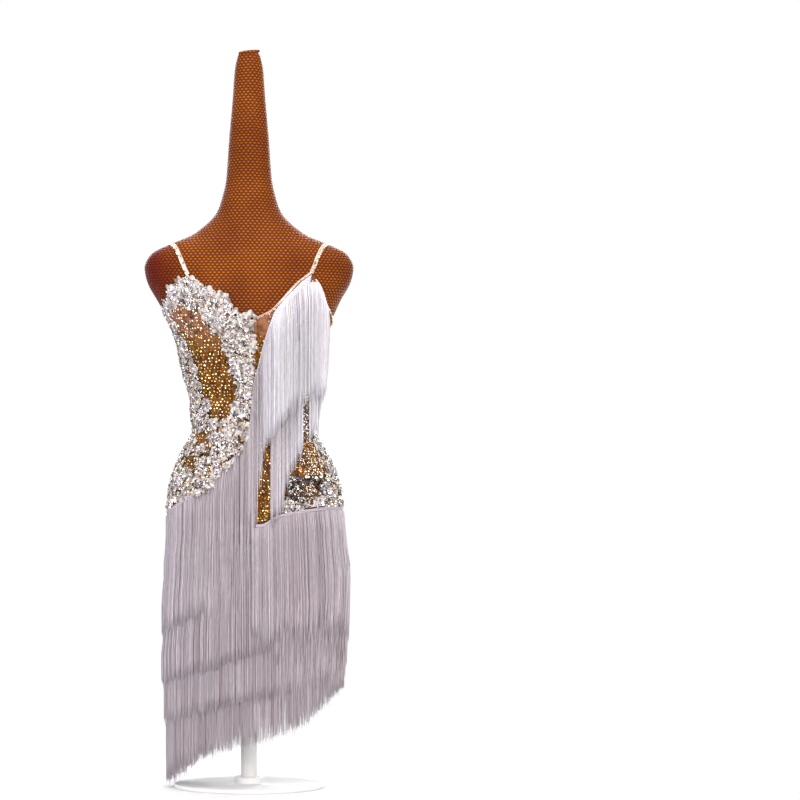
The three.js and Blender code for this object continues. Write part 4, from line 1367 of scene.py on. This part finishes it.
def chainette():
    # bright rayon chainette: soft satin threads with a fine twist
    material, node = startMaterial("rayon chainette")
    tint = node("Attribute", attribute_name="tint")
    place = node("TexCoord").outputs["Object"]
    stretched = node("Mapping", {"Vector": place, "Scale": (900.0, 900.0, 60.0)})
    lustre = node("TexNoise", {"Vector": stretched, "Scale": 1.0, "Detail": 1.0})
    shade = node("ValToRGB", {"Fac": lustre}, stops=[(0.3, "#e6e0e5"), (0.6, "#ffffff")])
    colour = node("Mix", {0: 1.0, 6: tint.outputs["Color"], 7: shade},
        data_type="RGBA", blend_type="MULTIPLY").outputs[2]
    surface = node("BsdfPrincipled", {
        "Base Color": colour, "Roughness": 0.5, "Sheen Weight": 0.2, "Sheen Roughness": 0.4,
        "Specular IOR Level": 0.4})
    node("OutputMaterial", {"Surface": surface})
    return material


threads = chainette()


def evenAngles(low, high, z, spacing):
    # evenly spaced places round the body, at one height or at each place's own
    fine = stepsBetween(low, high, 0.25)
    height = z(fine) if callable(z) else np.full(fine.shape, z)
    arc = arcAlong(draped(fine, height, rowOut)[:, :2])
    return np.interp(stepsBetween(0, arc[-1], spacing), arc, fine)


def tuftsOf(angle, rng):
    # threads that cling together: the middle of each one's tuft, and random numbers of the tuft and its own
    count = len(angle)
    tufts = np.repeat(np.arange(count), rng.integers(*fringe["tuft"], count))[:count]
    middle = (np.bincount(tufts, angle) / np.maximum(np.bincount(tufts), 1))[tufts]
    return middle, rng.normal(0, 1, (count, 5))[tufts], rng.normal(0, 1, (count, 5))


def threadEnds(high, hem, ragged, clumps, tuft, own, rng):
    # heights of the ends, of which a few hang lower than the rest
    count = len(hem)
    low = hem + tuft[:, 0] * clumps + own[:, 0] * fringe["uneven"]
    low = low - np.where(rng.random(count) < fringe["strayShare"], rng.uniform(*fringe["stray"], count), 0)
    low = low + ragged * (rng.uniform(-0.8, 0.8, count) + 0.3 * tuft[:, 1])
    return np.minimum(low, high - fringe["shortest"])


def threadDrift(angle, middle, share, gather, perDegree, tuft, own):
    # how far each thread strays sideways: towards the middle of its tuft, back past gather, and by its sway
    close = (middle - angle) * perDegree * fringe["pull"] * (1 + 0.5 * tuft[:, 2])
    close = close - np.clip(angle - gather[0], 0, None) * perDegree * gather[1]
    return close[:, None] * share ** 2 + fringe["sway"] * (
        0.4 * tuft[:, 3:4] * share ** 1.6 + 0.22 * own[:, 3:4] * share
        + 0.1 * own[:, 4:5] * np.sin(share * 7 + tuft[:, 4:5]))


def threadColours(angle, palette, turning, rng):
    colour = tintOf(rng, palette, len(angle))
    if turning:
        other, begin, end = turning
        share = np.clip((angle - begin) / (end - begin), 0, 1)[:, None]
        colour = colour * (1 - share) + tintOf(rng, other, len(angle)) * share
    return colour


def evenEnds(angle):
    return 0 * angle


def hangThreads(name, span, edges, place, palette, seed, atHeight=hipHeight, spacing=fringe["spacing"],
        layers=(0.2, 0.78), unevenTop=0, shade=1.0, feather=evenEnds, gather=(90, 0), turning=None,
        clumps=fringe["tuftUneven"]):
    # layers of threads between a row's tops and its hem. place(angle, top, z, share of the row's thickness)
    # puts them on the body, feather gives how ragged the ends are, gather the angle past which the threads
    # lean back and how much, turning a second palette with the angles at which it begins and has taken over,
    # and clumps how uneven the tufts are
    rng = np.random.default_rng(seed)
    top, hem = edges
    paths, tints, asides = [], [], []
    for layer in layers:
        angle = evenAngles(*span, atHeight, spacing)
        count = len(angle)
        angle = angle + rng.uniform(-0.3, 0.3, count) * (angle[1] - angle[0])
        middle, tuft, own = tuftsOf(angle, rng)
        high, ragged = top(angle) - rng.uniform(0, 1, count) * unevenTop, feather(angle)
        low = threadEnds(high, hem(angle), ragged, clumps, tuft, own, rng)
        share = np.linspace(0, 1, fringe["levels"])[None, :] ** 0.92
        z = high[:, None] * (1 - share) + low[:, None] * share
        depth = layer + 0.05 * tuft[:, 1:2] + 0.09 * own[:, 1:2]
        # ragged ends thin out, and slip in among the row below
        depth = depth * (1 - 0.8 * np.clip(ragged / 20, 0, 1)[:, None] * share ** 4)
        slip = np.clip(ragged / 40, 0, 1)[:, None] * share ** 4
        wide, tops = (np.broadcast_to(values[:, None], z.shape) for values in (angle, high))
        centre = place(wide, tops, z, np.clip(depth, 0, 1.05) - slip)
        tangent = skin(angle + 0.5, hipHeight, 0) - skin(angle - 0.5, hipHeight, 0)
        perDegree = np.linalg.norm(tangent, axis=1)
        tangent /= perDegree[:, None]
        drift = threadDrift(angle, middle, share, gather, perDegree, tuft, own)
        paths.append(centre + drift[..., None] * tangent[:, None, :])
        asides.append(tangent)
        # painted light and shade: tufts that stand further out are a little lighter, threads of the inner
        # layers darker
        colour = threadColours(angle, palette, turning, rng) * (1 + 0.02 * tuft[:, 1:2]) * shade
        tints.append(colour * (0.92 + 0.08 * layer))
    return threadMesh(name, np.concatenate(paths), np.concatenate(asides), np.concatenate(tints), rng)


def threadMesh(name, centre, aside, tint, rng):
    # three-sided threads along their centre lines, tapered at the end
    outward = np.stack([aside[:, 1], -aside[:, 0], 0 * aside[:, 0]], 1)
    count, levels = centre.shape[:2]
    sides = 3
    phase = rng.uniform(0, 6.28, count)[:, None] + np.arange(sides)[None, :] * 2 * math.pi / sides
    taper = np.ones(levels)
    taper[-1] = 0.45
    radius = fringe["radius"] * rng.uniform(0.85, 1.15, count)[:, None] * taper[None, :]
    ring = np.cos(phase)[..., None] * aside[:, None] + np.sin(phase)[..., None] * outward[:, None]
    points = centre[:, :, None, :] + radius[:, :, None, None] * ring[:, None]
    i, j, k = np.meshgrid(np.arange(count), np.arange(levels - 1), np.arange(sides), indexing="ij")
    start = i * levels * sides + j * sides
    m = (k + 1) % sides
    quads = np.stack([start + k, start + m, start + sides + m, start + sides + k], -1).reshape(-1, 4)
    first = np.arange(count) * levels * sides
    heads = np.stack([first, first + 2, first + 1], 1)
    tails = np.stack([first, first + 1, first + 2], 1) + (levels - 1) * sides
    # painted highlight: the threads grow paler towards their tips
    paintedHighlight = 1 + fringe["tipHighlight"] * np.linspace(0, 1, levels) ** 5
    tints = np.repeat((tint[:, None] * paintedHighlight[:, None]).reshape(-1, 3), sides, 0)
    return makePiece(name, points, [quads, heads, tails], threads, "fringe", [nodeOf(name)], tint=tints)


def columnAt(column):
    return lambda angle: smoothAt(skirtRows, "angle", column, angle)


def rampAt(angle, row):
    # heights between which the rows above swing out over a heading
    head = columnAt(f"head{row}")(angle)
    above = columnAt(f"head{row - 1}")(angle) - head - rampMargin if row > 2 else rampHeight
    return head + rampMargin + np.minimum(rampHeight, above - rampMargin), head + rampMargin


def pushedOut(angle, z, row):
    push = 0
    for lower in range(row + 1, 5):
        high, low = rampAt(angle, lower)
        push = push + rowStep * np.clip((high - z) / (high - low), 0, 1)
    return push


def skirtPlace(row):
    return lambda angle, top, z, share: draped(angle, z, rowOut + pushedOut(angle, z, row) + share * rowBulk)


def frontPlace(push):
    def place(angle, top, z, share):
        loose = 1.4 * np.clip((top - z) / rampHeight, 0.1, 1)
        return hang(angle, top, z, rowOut + loose + push(angle, top, z) + share * rowBulk)
    return place


def againstBodice(angle, top, z):
    return standOff(angle, top) + cupRowGap


def overInner(angle, top, z):
    return againstBodice(angle, top, z) + rowStep * np.clip((top - z) / rampHeight, 0.1, 1)


cupTape = {"tuck": 5, "more": 5, "end": 36, "rise": 5}


def tapeEdge(angle):
    # upper edge of the slanting tape, tucked under the neck trim along the cup
    return tapeAt(angle) + cupTape["tuck"] * np.clip((angle - 14) / 2, 0, 1)


def tapeFoot(angle):
    # its lower edge; it is wider along the cup
    return tapeAt(angle) - tapeHeight - cupTape["more"] * np.clip((angle - 4) / 8, 0, 1)


def belowTape(angle):
    # past the strap the threads hang from the armhole's edge, without a tape
    share = np.clip((angle - cupTape["end"]) / cupTape["rise"], 0, 1)
    return (1 - share) * (tapeFoot(angle) + 2) + share * (tapeAt(angle) + cupTape["tuck"])


def belowSeamEdge(angle):
    return seamAt(angle) - 0.3


def belowSeam(angle):
    return seamAt(angle) - tapeHeight + 1


def slantHem(angle):
    return straightAt(slantTape, "angle", "hem", angle)


def rowValue(rows, column):
    return lambda angle: straightAt(rows, "angle", column, angle)


# how ragged the ends of the slanting row and the other rows are, in mm: they blend at the centre and on
# the left, and are cut clean on the right hip
rowFeather = table("angle slant row",
    (-90, 0, 0), (-50, 0, 0), (-36, 6, 0), (-26, 34, 0), (-18, 64, 0), (-2, 70, 4), (4, 60, 8),
    (9, 10, 14), (14, 0, 22), (26, 0, 34), (72, 0, 34), (86, 0, 22), (96, 0, 10), (165, 0, 12),
    (205, 0, 26), (256, 0, 24), (270, 0, 2))
rowFade = (1.0, 1.0, 0.7, 0.0)    # share of that which each row has


def featherOf(column, share=1.0):
    return lambda angle: share * straightAt(rowFeather, "angle", column, angle)


def overRows(angle, top, z):
    return pushedOut(angle, z, 1)


shadedSkirtTint, cupTint = fringe["skirt"], fringe["cup"]
slant, firstRow = (belowTape, slantHem), (belowSeam, columnAt("hem1"))
innerFrontEdges, innerSideEdges = (
    (rowValue(rows, "z"), rowValue(rows, "hem")) for rows in (innerFront, innerSide))
threadPieces = [
    hangThreads("fringe1FrontRight", (-90, -14.2), slant, skirtPlace(1), shadedSkirtTint, 501,
        feather=featherOf("slant")),
    hangThreads("fringe1Centre", (-14.9, 9.8), slant, frontPlace(overRows), shadedSkirtTint, 502, atHeight=700,
        feather=featherOf("slant"), turning=(cupTint, 0, 16)),
    hangThreads("fringe1FrontLeft", (-1.8, 90), firstRow, skirtPlace(1), shadedSkirtTint, 503,
        feather=featherOf("row")),
    hangThreads("fringe1Back", (90, 270), firstRow, skirtPlace(1), shadedSkirtTint, 504,
        shade=fringe["backShade"], feather=featherOf("row")),
]
for row in (2, 3, 4):
    edges = columnAt(f"head{row}"), columnAt(f"hem{row}")
    for index, (part, span) in enumerate((("Front", (-90, 90)), ("Back", (90, 270)))):
        threadPieces.append(hangThreads(f"fringe{row}{part}", span, edges, skirtPlace(row), shadedSkirtTint,
            510 + row * 2 + index, unevenTop=12, feather=featherOf("row", rowFade[row - 1]),
            shade=fringe["backShade"] if index else fringe["rowShade"][row - 1]))
hangThreads("cupFringeOuter", (8.8, 58.5), slant, frontPlace(overInner), cupTint, 531, atHeight=900,
    spacing=1.1, layers=(0.1, 0.5, 0.9), gather=(40, 0.3), turning=(shadedSkirtTint, 16, 0), clumps=6.5)
hangThreads("cupFringeInnerFront", (19.1, 41.4), innerFrontEdges, frontPlace(againstBodice), cupTint, 532,
    atHeight=innerFrontEdges[0], spacing=1.1, layers=(0.1, 0.5, 0.9), turning=(shadedSkirtTint, 47, 12), clumps=8)
hangThreads("cupFringeInnerSide", (47.6, 69), innerSideEdges, frontPlace(againstBodice), cupTint, 533,
    atHeight=880, spacing=1.1, gather=(56, 0.3), clumps=7)
print("fringe made")

# painted shade: below cupFrom the same white tape is painted greyer than along the cup
tapes = {"skirt": "#d2c8d0", "cup": "#f3f0f8", "cupFrom": 830, "weft": 1.2, "row": 2.6, "thickness": 1.3}


def wovenTape():
    # the fringe's woven heading: close crosswise ribs, white, a little shiny; painted shade makes it greyer
    # below the cup
    material, node = startMaterial("woven heading tape")
    place = node("UVMap", uv_map="cut")
    ribs = node("TexWave", {"Vector": place, "Scale": 1000 / tapes["weft"] / 6.28, "Distortion": 0.8},
        wave_type="BANDS", bands_direction="X")
    rows = node("TexWave", {"Vector": place, "Scale": 1000 / tapes["row"] / 6.28, "Distortion": 0.0},
        wave_type="BANDS", bands_direction="Y")
    woven = node("Math", {0: ribs.outputs["Fac"], 1: rows.outputs["Fac"]}, operation="MULTIPLY")
    height = node("SeparateXYZ", {0: node("TexCoord").outputs["Object"]}).outputs["Z"]
    low = tapes["cupFrom"] * millimetre
    share = node("MapRange", {"Value": height, "From Min": low - 0.02, "From Max": low + 0.02})
    toneWithPaintedLight = node("Mix", {0: share, 6: linear(tapes["skirt"]), 7: linear(tapes["cup"])},
        data_type="RGBA").outputs[2]
    weave = node("ValToRGB", {"Fac": woven}, stops=[(0.0, "#cfc8d2"), (0.5, "#ffffff")])
    tone = node("Mix", {0: 1.0, 6: toneWithPaintedLight, 7: weave}, data_type="RGBA", blend_type="MULTIPLY").outputs[2]
    bump = node("Bump", {"Height": woven, "Strength": 0.6, "Distance": 0.3 * millimetre})
    surface = node("BsdfPrincipled", {
        "Base Color": tone, "Roughness": 0.5, "Normal": bump, "Sheen Weight": 0.2})
    node("OutputMaterial", {"Surface": surface})
    return material


tapeCloth = wovenTape()


for name, low, high, edges in (
        ("tapeFrontRight", -89.9, cupTape["end"], (tapeEdge, tapeFoot)),
        ("tapeFrontLeft", 0.3, 89.9, (belowSeamEdge, belowSeam)),
        ("tapeBack", 90, 269.9, (belowSeamEdge, belowSeam))):
    makeShell(name, nodeOf(name), stepsBetween(low, high, 1.2), edges, 5, rowOut + 0.75,
        tapes["thickness"], tapeCloth, "fringe", surface=draped)
print("tapes made")


# lists of the pieces on either side of the bodice, gathered here and not used further

def declareCloth():
    right, left = [], []
    for name, pair in lacePair.items():
        (left if "Left" in name else right).extend(pair)
    right += [*neckFlowerPieces, *tapeSprigPieces, meshStonePieces[0]]
    left.append(meshStonePieces[1])


declareCloth()
print("dress finished")
